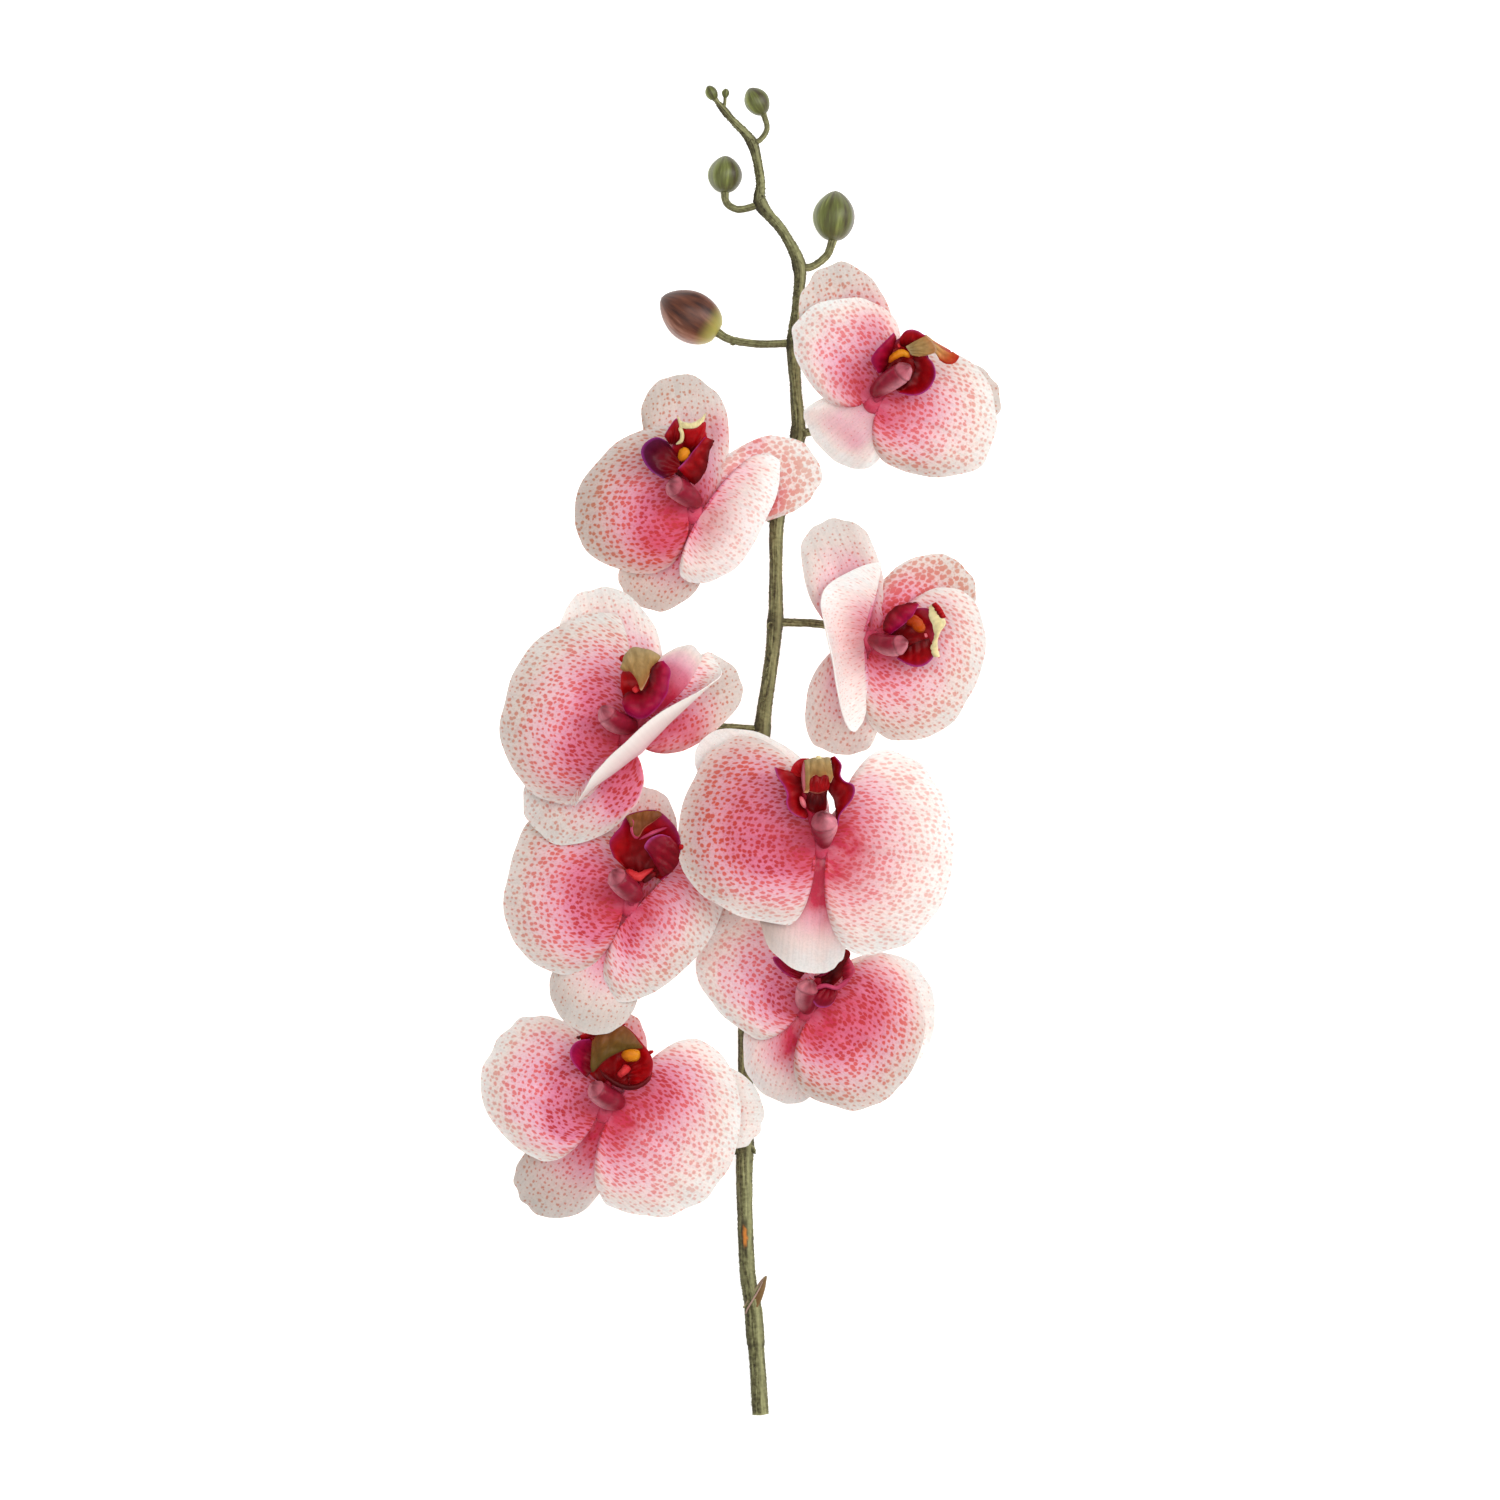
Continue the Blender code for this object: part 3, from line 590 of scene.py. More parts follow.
def stemSkin():
    # living stem: fibrous olive skin, dull under short hairs. Its grain is coarser than life, to show
    look = stemLook
    material, tree, shader, tint, vein = tissue(
        "stemSkin", 0.75, 0.0, (1.0, 0.4, 0.2),
        {"Sheen Weight": 0.1, "Sheen Roughness": 0.5, "Sheen Tint": hexColour(look["sheen"])})
    shares = addNode(tree, "SeparateColor", links={0: tint}).outputs
    fibres = strands(tree, vein, 1.1, 0.09, 5.0)
    place = addNode(tree, "TexCoord")
    fuzz = addNode(tree, "TexNoise", {"Scale": 0.8 / mm, "Detail": 3.0}, {"Vector": place.outputs["Object"]})
    ground = addNode(tree, "ValToRGB", ramp((0.36, look["dark"]), (0.5, look["body"]), (0.66, look["light"])),
                     {0: fibres})
    speckle = addNode(tree, "ValToRGB", ramp((0.38, look["dark"]), (0.62, look["light"])), {0: fuzz})
    ground = addNode(tree, "Mix", {"data_type": "RGBA", 0: 0.3}, {6: ground, 7: speckle})
    # dark lies on the joints, round the scar and at the sheath ring, and as painted shade on the left side
    # and right edge; light is the pale cut end, paler hairs and bud stalks, and a painted lit band on the
    # right
    layers = ((shares[0], "dark"), (tint.outputs["Alpha"], "light"), (shares[1], "scar"), (shares[2], "pink"))
    for share, colour in layers:
        ground = addNode(tree, "Mix", {"data_type": "RGBA", 7: hexColour(look[colour])},
                         {0: share, 6: ground})
    relief = addNode(tree, "Math", {"operation": "MULTIPLY_ADD", 1: 0.8}, {0: fuzz, 2: fibres})
    finishTissue(tree, shader, ground, relief, 0.4, 0.6)
    return material


budLooks = {
    "budSkinGreen": {"dark": "#41391f", "body": "#626732", "light": "#99a05a", "foot": "#54522a"},
    "budSkinBrown": {"dark": "#34150d", "body": "#673722", "light": "#a67560", "foot": "#b0aa50"},
}


def budSkin(name):
    # closed bud: firm waxy skin, ribbed, with darker streaks in its furrows
    look = budLooks[name]
    material, tree, shader, tint, vein = tissue(
        name, 0.42, 0.08, (0.8, 0.6, 0.2), {"Coat Weight": 0.15, "Coat Roughness": 0.3})
    shares = addNode(tree, "SeparateColor", links={0: tint}).outputs
    furrows = strands(tree, vein, 1.5, 0.10, 4.0)
    streak = addNode(tree, "Math", {"operation": "MULTIPLY_ADD", 1: 1.1, 2: -0.55}, {0: furrows})
    streak = addNode(tree, "Math", {"operation": "ADD", "use_clamp": True}, {0: streak, 1: shares[0]})
    ground = addNode(tree, "ValToRGB", ramp((0.15, look["dark"]), (0.5, look["body"]), (0.9, look["light"])),
                     {0: streak})
    for share, colour in ((shares[1], "dark"), (shares[2], "foot")):
        ground = addNode(tree, "Mix", {"data_type": "RGBA", 7: hexColour(look[colour])},
                         {0: share, 6: ground})
    finishTissue(tree, shader, ground, furrows, 0.4, 0.35)
    return material


petalUpper = petalTissue()
petalUnder = petalBack()
lipInside, lipOutside, columnFlesh = [waxyFlesh(name) for name in fleshLooks]
stemSurface = stemSkin()
budGreen, budBrown = [budSkin(name) for name in budLooks]
print("materials made")


# The blooms, from the spike's tip to its cut end. A blade's look gives, for its left margin, its
# tip and its right margin or for all three: pale, the share of the way out at which it starts to
# fade, and shade, how much painted shade greys it where it turns from the light; and dots, how
# speckled it is, deep, how far its throat colour reaches, flush, how much of that colour lies on
# the whole blade, heart, how much of it at its foot, and stains, x, y, size and strength of its
# pinker places

def lobe(coat, inner, outer, arch):
    # one lobe of a lip between two edges: x, y in plan and the height over the bloom's centre
    return {"coat": coat, "inner": inner, "outer": outer, "arch": arch}


def limb(coat, points, radii):
    # a thin rolled body through points given as a lobe's are
    return {"coat": coat, "points": points, "radii": radii}


blooms = {
    "bloom_1": {
        "centre": (46.5, 125.5, 30.0),
        "petals": (
            blade(131, 40.5, (13, 16), (25, 19), 2, (0, 2), pale=(0.0, 0.1, 0.3), shade=(0.0, 0.1, 0.0),
                  deep=0.15, stains=((46, 152, 8, 0.35), (38, 138, 8, 0.12))),
            blade(-25, 45, (28, 20), (18, 14), 2, (-3, 0), pale=(0.2, -0.2, 0.2), shade=(0.3, 0.2, 0.45),
                  deep=0.25, stains=((64, 121, 8, 0.2),)),
        ),
        "sepals": (
            blade(107, 52, (17, 33), (15, 29), 6, pale=0.1, shade=(0.5, 0.5, 0.3), dots=0.9,
                  stains=((46, 157, 9, 0.35),)),
            blade(1, 45.5, (14, 30), (12, 30), 10, shade=(0.3, 0.6, 0.3)),
            blade(-140, 25, (17, 14), (14, 20), 8, pale=-0.8, shade=0.0, dots=0.35, heart=0.3, deep=0.0,
                  stains=((30, 119, 4, 0.2), (35, 115, 4, 0.22), (40, 111, 4, 0.3))),
        ),
        "column": {"line": ((47.7, 129.8, 4.5), (53.0, 133.8, 10), (59.3, 137.8, 14.5)),
                   "radii": (3.5, 3.9, 3.4), "pale": -50},
        "lobes": (
            lobe("cup", ((48.9, 134.1, 4.5), (54.6, 129.7, 4.5)), ((49.5, 139.2, 7), (53.6, 146.8, 8),
                 (59.0, 148.7, 8.5), (64.1, 144.2, 8.5), (66.6, 138.5, 8), (65.3, 131.6, 7.5),
                 (59.0, 128.7, 6.5)), 0),
            lobe("magenta", ((49.6, 136.2, 7), (51.5, 140.1, 8), (53.1, 144.6, 9.5), (54.2, 148.4, 10.5)),
                 ((47.8, 135.6, 7.5), (45.4, 139.8, 9.5), (46.3, 142.7, 11), (49.9, 146.6, 12),
                 (53.4, 149.9, 12)), 1.2),
            lobe("wing", ((55.8, 145.4, 7.5), (58.4, 144.7, 8), (62.2, 145.2, 8.5)), ((55.4, 147.9, 10),
                 (57.1, 150.3, 12), (59.3, 151.1, 12.5), (61.8, 150.6, 12), (65.1, 148.7, 11)), 1.0),
            lobe("wing", ((56.3, 129.8, 7.5), (60.9, 136.0, 8), (60.3, 141.4, 8.5)), ((55.1, 128.6, 8),
                 (59.0, 127.7, 10), (62.2, 127.8, 11.5), (65.6, 129.7, 12), (67.8, 133.2, 12),
                 (68.2, 136.3, 12), (67.2, 139.3, 11), (65.0, 141.6, 10)), -1.5),
            lobe("khaki", ((57.6, 145.1, 12), (59.7, 142.0, 12)), ((64.9, 148.9, 13.5), (67.5, 146.3, 14),
                 (68.2, 143.0, 13.5), (62.3, 141.3, 13)), 0.6),
            lobe("tail", ((64.6, 149.2, 12.8), (66.9, 146.8, 13.4), (68.0, 143.0, 13)), ((70.4, 142.6, 13),
                 (73.5, 141.1, 12.4), (76.6, 141.6, 12), (75.2, 139.2, 12), (72.6, 138.7, 12.4),
                 (69.7, 140.1, 13)), 0.4),
        ),
        "limbs": (
            limb("callus", ((51.5, 139.2, 10), (53.6, 141.6, 11), (56.6, 142.7, 11.5), (59.2, 141.2, 11)),
                 (0.7, 1.3, 1.3, 0.8)),
            limb("coral", ((54.9, 145.2, 10), (55.6, 145.6, 10.3)), (0.8, 0.6)),
        ),
    },
    "bloom_2": {
        "centre": (-18.0, 85.5, 31.0),
        "petals": (
            blade(184, 43, (20, 17), (32, 6), 3, (-2, 0), pale=(0.5, 0.35, 0.4), shade=(0.5, 0.7, 0.5),
                  flush=0.18, stains=((-31, 72, 11, 0.35),)),
            blade(-30, 24, (34, 14), (22, 8), -2, (-3, 2), pale=(-1.0, -3.0, -0.3), shade=(0.0, 0.0, 0.1),
                  deep=0.15, dots=0.8, heart=0.6, stains=((-12, 95, 6, 0.15), (-3, 105, 8, 0.3))),
        ),
        "sepals": (
            blade(97, 50.5, (14.5, 36), (16, 31), 5, pale=(-0.2, -0.2, 0.1), shade=(0.8, 0.65, 0.3),
                  stains=((-9, 116, 6, 0.35),)),
            blade(21, 48.5, (17, 31), (12, 30), 5, pale=-0.3, shade=(0.1, 0.3, 0.3), dots=1.35,
                  stains=((3, 113, 6, 0.35), (9, 90, 5, 0.4))),
            blade(-122, 38.5, (15, 22), (12, 30), 9, pale=(0.1, 0.0, -0.1), shade=(0.5, 0.6, 0.6),
                  stains=((-25, 72, 8, 0.4),)),
        ),
        "column": {"line": ((-18.1, 90.1, 4.5), (-22.4, 93.3, 10), (-27.2, 96.2, 14)),
                   "radii": (3.7, 4.1, 3.6), "pale": 200},
        "lobes": (
            lobe("cup", ((-24.7, 99.7, 4.5), (-18.1, 96.0, 4.5)), ((-26.9, 103.4, 6.5), (-25.7, 110.0, 7.5),
                 (-22.7, 114.4, 8.5), (-14.8, 114.7, 8.5), (-14.0, 108.7, 8), (-15.1, 100.1, 7)), 0),
            lobe("purple", ((-23.5, 105.3, 7), (-23.0, 102.1, 7.5), (-25.3, 99.4, 8)), ((-27.9, 111.4, 10),
                 (-31.4, 112.5, 12), (-35.0, 110.8, 13), (-36.8, 107.7, 13), (-35.8, 103.9, 12.5),
                 (-33.0, 100.3, 11.5), (-29.0, 97.9, 9.5)), -2.5),
            lobe("wing", ((-26.9, 110.6, 8.5), (-23.9, 109.9, 8.5)), ((-28.6, 113.0, 10.5),
                 (-27.0, 116.0, 12), (-24.3, 119.3, 12.5), (-23.2, 116.8, 12), (-22.7, 112.7, 10)), 0.8),
            lobe("red", ((-21.1, 108.8, 7.5), (-17.3, 106.6, 7.5)), ((-23.1, 113.4, 10), (-22.3, 116.0, 12),
                 (-18.1, 115.9, 12.5), (-14.0, 118.1, 12.5), (-13.9, 114.4, 12), (-13.2, 111.2, 11),
                 (-15.4, 108.2, 9)), 1.0),
            lobe("wing", ((-17.9, 95.6, 8), (-15.1, 98.7, 9), (-13.3, 102.7, 10), (-12.9, 106.4, 11),
                 (-10.8, 111.4, 12.5)), ((-23.8, 101.5, 11.5), (-20.7, 104.6, 12), (-16.8, 109.4, 13),
                 (-14.0, 112.6, 13.5)), 0.8),
            lobe("cream", ((-23.9, 120.0, 13), (-22.4, 117.9, 13.4), (-18.7, 117.6, 13.6),
                 (-15.8, 118.9, 13.4), (-13.6, 121.2, 13)), ((-23.1, 115.9, 12.8), (-20.7, 115.7, 13.2),
                 (-17.3, 116.0, 13.4), (-14.5, 118.3, 13.2)), 0.5),
        ),
        "limbs": (
            limb("cream", ((-23.3, 116.2, 13), (-22.3, 114.0, 12.8), (-22.5, 111.5, 12),
                 (-24.5, 110.0, 11)), (0.9, 0.7, 0.7, 0.4)),
            limb("callus", ((-22.3, 104.2, 9), (-21.8, 106.4, 11), (-20.2, 108.7, 10.5)), (1.0, 2.0, 1.5)),
        ),
    },
    "bloom_3": {
        "centre": (45.0, 40.0, 33.0),
        "petals": (
            blade(190, 27, (31, 12), (27, -9), 0, (0, 0), (8, 9), pale=(-1.6, -3.0, -1.6), shade=0.0,
                  dots=0.6, deep=0.1, heart=0.6, stains=((43, 50, 6, 0.25),)),
            blade(-30, 41, (32, 20), (27, 20), 1, (2, 0), pale=(0.25, 0.1, 0.1), shade=(0.15, 0.25, 0.45)),
        ),
        "sepals": (
            blade(115, 46, (13, 22), (15.5, 33), 5, pale=-0.1, dots=0.6, stains=((38, 66, 6, 0.2),
                  (31, 56, 6, 0.2), (29, 49, 5, 0.3))),
            blade(38, 43, (15, 24), (15, 31), 4, pale=(0.3, 0.3, 0.2), shade=(0.3, 0.5, 0.5), dots=1.3,
                  flush=0.15),
            blade(-112.5, 42.5, (15, 33), (14, 20), 6, pale=(0.0, -0.2, 0.1)),
        ),
        "column": {"line": ((46.9, 40.0, 4.5), (51.5, 38.4, 10), (58.2, 38.8, 14.5)),
                   "radii": (3.3, 3.8, 3.3), "pale": -90},
        "lobes": (
            lobe("cup", ((52.5, 42.3, 4.5), (55.9, 36.7, 4.5)), ((54.8, 49.2, 7), (61.1, 51.5, 8),
                 (66.8, 50.6, 9), (68.4, 42.9, 8.5), (67.6, 37.2, 8), (61.1, 34.9, 6.5)), 0),
            lobe("magenta", ((49.7, 43.4, 8), (50.1, 47.2, 9.5), (52.5, 50.9, 11), (55.9, 52.7, 12),
                 (61.4, 53.6, 12)), ((52.2, 42.2, 8.5), (55.1, 44.5, 10.5), (58.5, 47.0, 12),
                 (60.5, 49.7, 13), (62.2, 52.9, 13)), 0.8),
            lobe("wing", ((56.2, 35.8, 7), (61.1, 39.2, 8), (66.1, 40.9, 8)), ((54.5, 33.7, 8),
                 (58.2, 31.5, 10.5), (61.9, 30.6, 12), (65.3, 31.8, 12), (67.8, 34.7, 11)), -1.0),
            lobe("cream", ((65.9, 52.0, 12.6), (66.0, 48.9, 13), (67.2, 45.2, 13.2), (67.9, 41.5, 13),
                 (66.7, 37.2, 12.4), (67.7, 34.1, 12)), ((67.4, 53.3, 12.8), (69.3, 50.6, 13.2),
                 (71.8, 46.3, 13.4), (69.7, 42.9, 13.2), (68.8, 38.9, 12.8), (69.6, 34.1, 12)), 0.5),
            lobe("red", ((66.9, 52.9, 13.6), (68.2, 50.8, 13.8), (70.4, 47.6, 13.6)), ((68.2, 53.6, 13.8),
                 (70.3, 51.3, 13.9), (71.9, 48.3, 13.7)), 0.3),
        ),
        "limbs": (
            limb("ember", ((57.4, 46.3, 10), (60.5, 47.0, 11.4), (62.3, 45.1, 11.2), (63.9, 42.9, 10)),
                 (1.3, 2.1, 2.1, 1.2)),
            limb("pink", ((64.3, 41.7, 11), (65.3, 42.0, 11.2)), (0.9, 0.7)),
        ),
    },
    "bloom_4": {
        "centre": (-42.0, 6.0, 47.0),
        "petals": (
            blade(168, 45.5, (29, 18), (41, 13), 2, (0, -2), pale=(0.5, 0.3, 0.35), shade=(0.3, 0.5, 0.35),
                  stains=((-52, 26, 10, 0.2), (-64, -6, 14, 0.15))),
            blade(-48, 30.5, (42, -3), (31, 5), 0, (0, 0), (0, 10.2), pale=0.5),
            blade(51, 40, (8.5, 24), (7.5, 21), -3, (3, 0), pale=(0.85, 0.7, 0.85), dots=0.15, deep=0.8,
                  flush=0.2, stains=((-25, 20, 8, 0.45),)),
        ),
        "sepals": (
            blade(105, 54, (14, 38), (20, 30), 6, pale=(0.0, 0.1, 0.5), shade=(0.2, 0.2, 0.1)),
            blade(27, 45.5, (14, 36), (14, 18), 4, pale=(0.1, 0.0, 0.1), shade=(0.1, 0.6, 0.5), deep=0.6,
                  stains=((-20, 8, 9, 0.55),)),
            blade(-130, 47, (18.5, 18), (16.5, 35), 4, pale=(0.9, 0.0, -0.5), shade=(0.1, 0.4, 0.2),
                  dots=0.9, stains=((-44, -12, 10, 0.3),)),
        ),
        "column": {"line": ((-40.9, 9.6, 4.5), (-45.9, 11.1, 10), (-51.1, 15.9, 14)),
                   "radii": (3.7, 3.9, 3.2), "pale": 225},
        "lobes": (
            lobe("red", ((-42.4, 17.6, 4.5), (-37.0, 14.2, 4.5)), ((-44.1, 23.0, 6.5), (-43.3, 29.0, 8),
                 (-37.0, 32.5, 9), (-29.4, 31.9, 9), (-27.5, 26.2, 8), (-28.2, 21.1, 7)), 0),
            lobe("magenta", ((-43.0, 20.2, 9), (-40.5, 21.6, 9), (-37.0, 21.4, 8.5), (-34.2, 23.6, 9),
                 (-33.5, 26.8, 10), (-32.6, 30.0, 11), (-31.4, 31.9, 12)), ((-43.5, 17.3, 10),
                 (-41.7, 14.0, 10.5), (-37.6, 12.1, 11), (-34.2, 12.9, 12), (-30.4, 16.4, 12.8),
                 (-27.5, 21.1, 13.2), (-26.7, 25.5, 13.5), (-26.4, 29.3, 13.5), (-28.8, 32.7, 13.2)), 2.0),
            lobe("khaki", ((-44.1, 30.0, 12.6), (-42.5, 34.4, 13.4), (-39.7, 37.4, 14), (-35.4, 36.8, 14.2),
                 (-31.6, 35.5, 13.8), (-29.8, 33.8, 13)), ((-43.0, 29.0, 12.4), (-40.2, 28.6, 12.6),
                 (-37.9, 25.3, 12.4), (-36.8, 22.1, 11.6), (-35.6, 23.8, 12), (-34.1, 26.8, 12.8),
                 (-33.6, 29.7, 13.2), (-30.9, 32.5, 13)), 1.2),
        ),
        "limbs": (
            limb("red", ((-42.6, 31.9, 12), (-43.6, 33.5, 12.4), (-42.5, 34.5, 11.6)), (0.5, 0.9, 0.5)),
            limb("red", ((-28.2, 30.0, 12), (-26.5, 29.0, 12.6)), (1.0, 0.7)),
            limb("coral", ((-39.4, 21.7, 9.4), (-37.8, 23.3, 10.4)), (1.2, 1.0)),
        ),
    },
    "bloom_5": {
        "centre": (-41.0, -55.0, 39.5),
        "petals": (
            blade(170, 45, (28, 20), (36, 28), 3, (0, -6), pale=(0.45, 0.35, 0.3), shade=(0.3, 0.35, 0.8),
                  flush=0.08, stains=((-60, -44, 10, 0.2),)),
            blade(-45, 29.5, (37, 1), (27.5, 20), 0, (-2, 0), pale=(0.1, 0.0, 0.3), deep=0.2,
                  stains=((-20, -43, 10, 0.4),)),
        ),
        "sepals": (
            blade(82, 43, (14, 28), (13, 28), 6, pale=(0.3, 0.3, 0.4), flush=0.15),
            blade(5, 42, (13, 28), (13, 28), 7),
            blade(-112, 47.6, (15, 33), (17, 33), -3, pale=-0.3, shade=(0.5, 0.6, 0.6), dots=0.6,
                  stains=((-50, -74, 8, 0.4),)),
        ),
        "column": {"line": ((-39.2, -50.6, 4.5), (-43.0, -47.2, 10), (-47.2, -42.4, 14)),
                   "radii": (3.9, 4.0, 3.5), "pale": 200},
        "lobes": (
            lobe("cup", ((-40.6, -42.7, 5), (-36.7, -45.2, 5), (-32.6, -44.0, 5)), ((-46.6, -37.4, 9),
                 (-48.2, -32.3, 11.5), (-46.4, -29.0, 12.5), (-44.2, -26.6, 12.8), (-42.5, -23.3, 13),
                 (-40.0, -21.6, 13), (-33.4, -20.4, 13.5), (-29.3, -21.7, 13.5), (-24.4, -27.0, 13),
                 (-22.8, -32.6, 12.5), (-23.3, -38.6, 11), (-26.1, -42.7, 9), (-29.7, -45.5, 8)), -1.5),
            lobe("umber", ((-42.2, -22.8, 13.6), (-38.7, -21.6, 14), (-34.1, -20.8, 14.2),
                 (-29.9, -21.2, 14)), ((-40.3, -26.0, 13.4), (-39.4, -29.7, 12.8), (-37.7, -30.1, 12.6),
                 (-35.7, -27.0, 13.2), (-32.7, -24.8, 13.6), (-29.3, -22.1, 13.8)), 0.6),
            lobe("mauve", ((-23.6, -33.3, 12.2), (-23.4, -38.1, 11.2), (-26.0, -42.4, 10),
                 (-29.5, -43.9, 9.4)), ((-26.6, -30.0, 13.6), (-30.1, -29.2, 13.8), (-33.7, -30.7, 13.4),
                 (-35.6, -33.4, 12.8), (-34.4, -35.4, 12), (-31.9, -39.3, 10.6)), 1.5),
        ),
        "limbs": (
            limb("rim", ((-41.2, -23.2, 13.4), (-39.6, -24.8, 13.6), (-40.1, -27.4, 13.3),
                 (-39.0, -30.1, 12.8), (-37.5, -30.2, 12.8)), (0.4, 0.6, 0.6, 0.5, 0.3)),
            limb("rim", ((-37.7, -31.1, 11.8), (-32.7, -28.6, 12.6), (-27.4, -26.6, 12.8)), (0.3, 0.7, 0.4)),
            limb("coral", ((-42.0, -41.6, 7.4), (-40.2, -43.6, 7.6), (-37.1, -44.2, 7.8),
                 (-32.3, -41.2, 8.6)), (1.2, 1.7, 1.7, 0.8)),
            # painted shade: a dark limb in the slit between the cup's edge and the petals
            limb("dark", ((-36.4, -46.4, 8.4), (-31.7, -42.7, 9.4)), (1.1, 1.0)),
            limb("red", ((-23.6, -33.4, 12), (-21.6, -33.8, 12.2)), (1.0, 0.9)),
        ),
    },
    "bloom_6": {
        "centre": (27.5, -34.0, 54.0),
        "petals": (
            blade(178, 51, (27.5, 11), (39, 30), 4, (0, -1), pale=(0.2, 0.5, 0.55), shade=(0.1, 0.5, 0.4),
                  deep=0.4, stains=((0, -28, 18, 0.4), (-5, -6, 13, 0.2))),
            blade(-10, 47, (38.5, 17), (35, 20), 3, pale=(0.2, -0.6, -0.5), shade=(0.0, 0.0, 0.1), deep=0.85),
        ),
        "sepals": (
            blade(138, 57, (12, 40), (19, 28), 6, pale=(-0.3, -0.3, -0.2), dots=0.4, shade=0.1),
            blade(25, 42, (13, 26), (13, 26), 6),
            blade(-93, 45, (10.5, 34), (21.5, 22), 4, pale=(-0.6, -1.5, -0.6), shade=(0, 0.1, 1.0),
                  dots=0.15, deep=1.2, stains=((28, -54, 11, 0.45),)),
        ),
        "column": {"line": ((28.4, -31.4, 4), (28.2, -27.0, 10), (28.2, -22.5, 15.5)),
                   "radii": (3.4, 4.7, 4.3), "pale": -20},
        "lobes": (
            lobe("wing", ((22.8, -22.6, 6), (22.1, -19.5, 6.5), (21.7, -15.0, 7.5), (21.6, -11.2, 8.5),
                 (21.4, -8.4, 9.5)), ((21.8, -23.7, 8), (18.7, -22.6, 9.5), (16.0, -20.6, 10.5),
                 (14.9, -17.8, 11.3), (15.2, -15.0, 11.8), (14.1, -12.1, 12.2), (11.8, -8.7, 12.6),
                 (10.6, -5.1, 13)), -0.8),
            lobe("red", ((21.9, -8.7, 9), (21.9, -14.0, 8)), ((15.9, -8.0, 10.5), (17.4, -4.2, 11.5),
                 (19.9, -2.3, 12), (23.0, -2.1, 12.5)), 0.5),
            lobe("wing", ((30.6, -1.8, 11.5), (31.1, -5.5, 10), (30.9, -9.0, 9), (29.7, -13.0, 8),
                 (31.8, -16.9, 8.5), (32.6, -21.0, 8.2), (33.0, -25.6, 8)), ((32.1, -1.3, 12.5),
                 (34.4, -4.4, 12.5), (34.0, -8.0, 12), (35.6, -10.2, 12), (38.5, -11.4, 12.5),
                 (39.2, -13.6, 12.5), (38.2, -16.6, 12), (35.8, -19.6, 11), (33.7, -22.5, 9.5),
                 (33.2, -25.9, 8.2)), -0.8),
            lobe("khaki", ((21.1, -2.8, 13), (23.7, -2.1, 13.6), (26.3, -1.8, 13.8), (30.3, -1.7, 13.2)),
                 ((21.0, -14.2, 11.2), (22.8, -14.0, 11.4), (23.3, -10.1, 12), (24.7, -8.2, 12.6),
                 (26.9, -8.8, 12.8), (28.9, -8.2, 12.6), (30.2, -10.9, 11.8), (31.6, -8.7, 12.4)), 0.8),
            lobe("heart", ((23.3, -9.7, 12.4), (25.2, -7.9, 12.8), (27.0, -8.5, 13), (29.0, -7.9, 12.8),
                 (30.4, -10.7, 12.2)), ((22.8, -13.9, 11), (26.3, -14.5, 11), (29.8, -13.3, 11)), 0.8),
            # painted shade: these two dark lobes, one in the opening between the lip's heart and the column,
            # one flat beneath the lip, stand for the shade there
            lobe("dark", ((22.8, -14.1, 11), (26.3, -14.6, 11), (29.5, -13.1, 11)), ((21.9, -17.2, 8.6),
                 (22.8, -20.3, 7.6), (25.6, -21.3, 7.4), (28.9, -20.1, 7.6), (28.8, -15.7, 8.8)), 1.0),
            lobe("dark", ((21.2, -3.6, 6.5), (30.7, -3.6, 6.5)), ((21.8, -20.4, 5.5), (25.6, -21.2, 5.5),
                 (28.7, -20.1, 5.5), (29.0, -15.0, 5.5)), 0),
        ),
        "limbs": (
            limb("rosy", ((21.1, -3.0, 13.2), (20.9, -8.0, 12.6), (21.2, -14.2, 11.4)), (0.3, 0.7, 0.5)),
            limb("pink", ((19.8, -15.5, 9.6), (20.7, -17.6, 9.2), (21.7, -19.9, 8.6)), (0.5, 1.0, 0.5)),
            limb("cream", ((25.3, -2.3, 13.8), (26.3, -1.7, 14.2), (27.4, -2.2, 13.8)), (0.4, 0.7, 0.4)),
        ),
    },
    "bloom_7": {
        "centre": (22.5, -92.5, 25.0),
        "petals": (
            blade(150, 45, (18, 12), (28, 25), 3, (0, -2), pale=(0.2, 0.3, 0.3), deep=0.0, shade=0.1),
            blade(-35, 44, (33, 12), (25, 18), 4, pale=(0.5, 0.35, 0.3), deep=0.45, shade=(0.1, 0.4, 0.5),
                  stains=((44, -92, 16, 0.5),)),
        ),
        "sepals": (
            blade(110, 38, (13, 24), (13, 24), 6),
            blade(-12, 47, (26, 26), (13, 35), 24.0, pale=-0.9, dots=0.7, shade=0.0),
            blade(-105, 35, (12, 20), (20, 12), 8, pale=-0.6, deep=0.5, dots=0.6, shade=(0.0, 0.1, 0.1),
                  stains=((16, -107, 8, 0.4),)),
        ),
        "column": {"line": ((22.3, -91.0, 4), (22.1, -87.0, 9), (23.3, -81.8, 13)),
                   "radii": (3.6, 3.8, 4.0), "pale": 190},
        "lobes": (
            lobe("dark", ((28.2, -83.1, 6), (24.8, -80.1, 6)), ((31.5, -83.6, 8), (34.6, -80.4, 9.5),
                 (36.7, -75.6, 11.3), (37.8, -71.5, 12.5), (34.3, -70.6, 12.5), (30.9, -78.0, 9.5),
                 (27.2, -80.1, 8)), 0),
            lobe("magenta", ((19.6, -80.9, 7), (21.7, -78.7, 7)), ((16.4, -80.3, 9.5), (13.4, -78.1, 11),
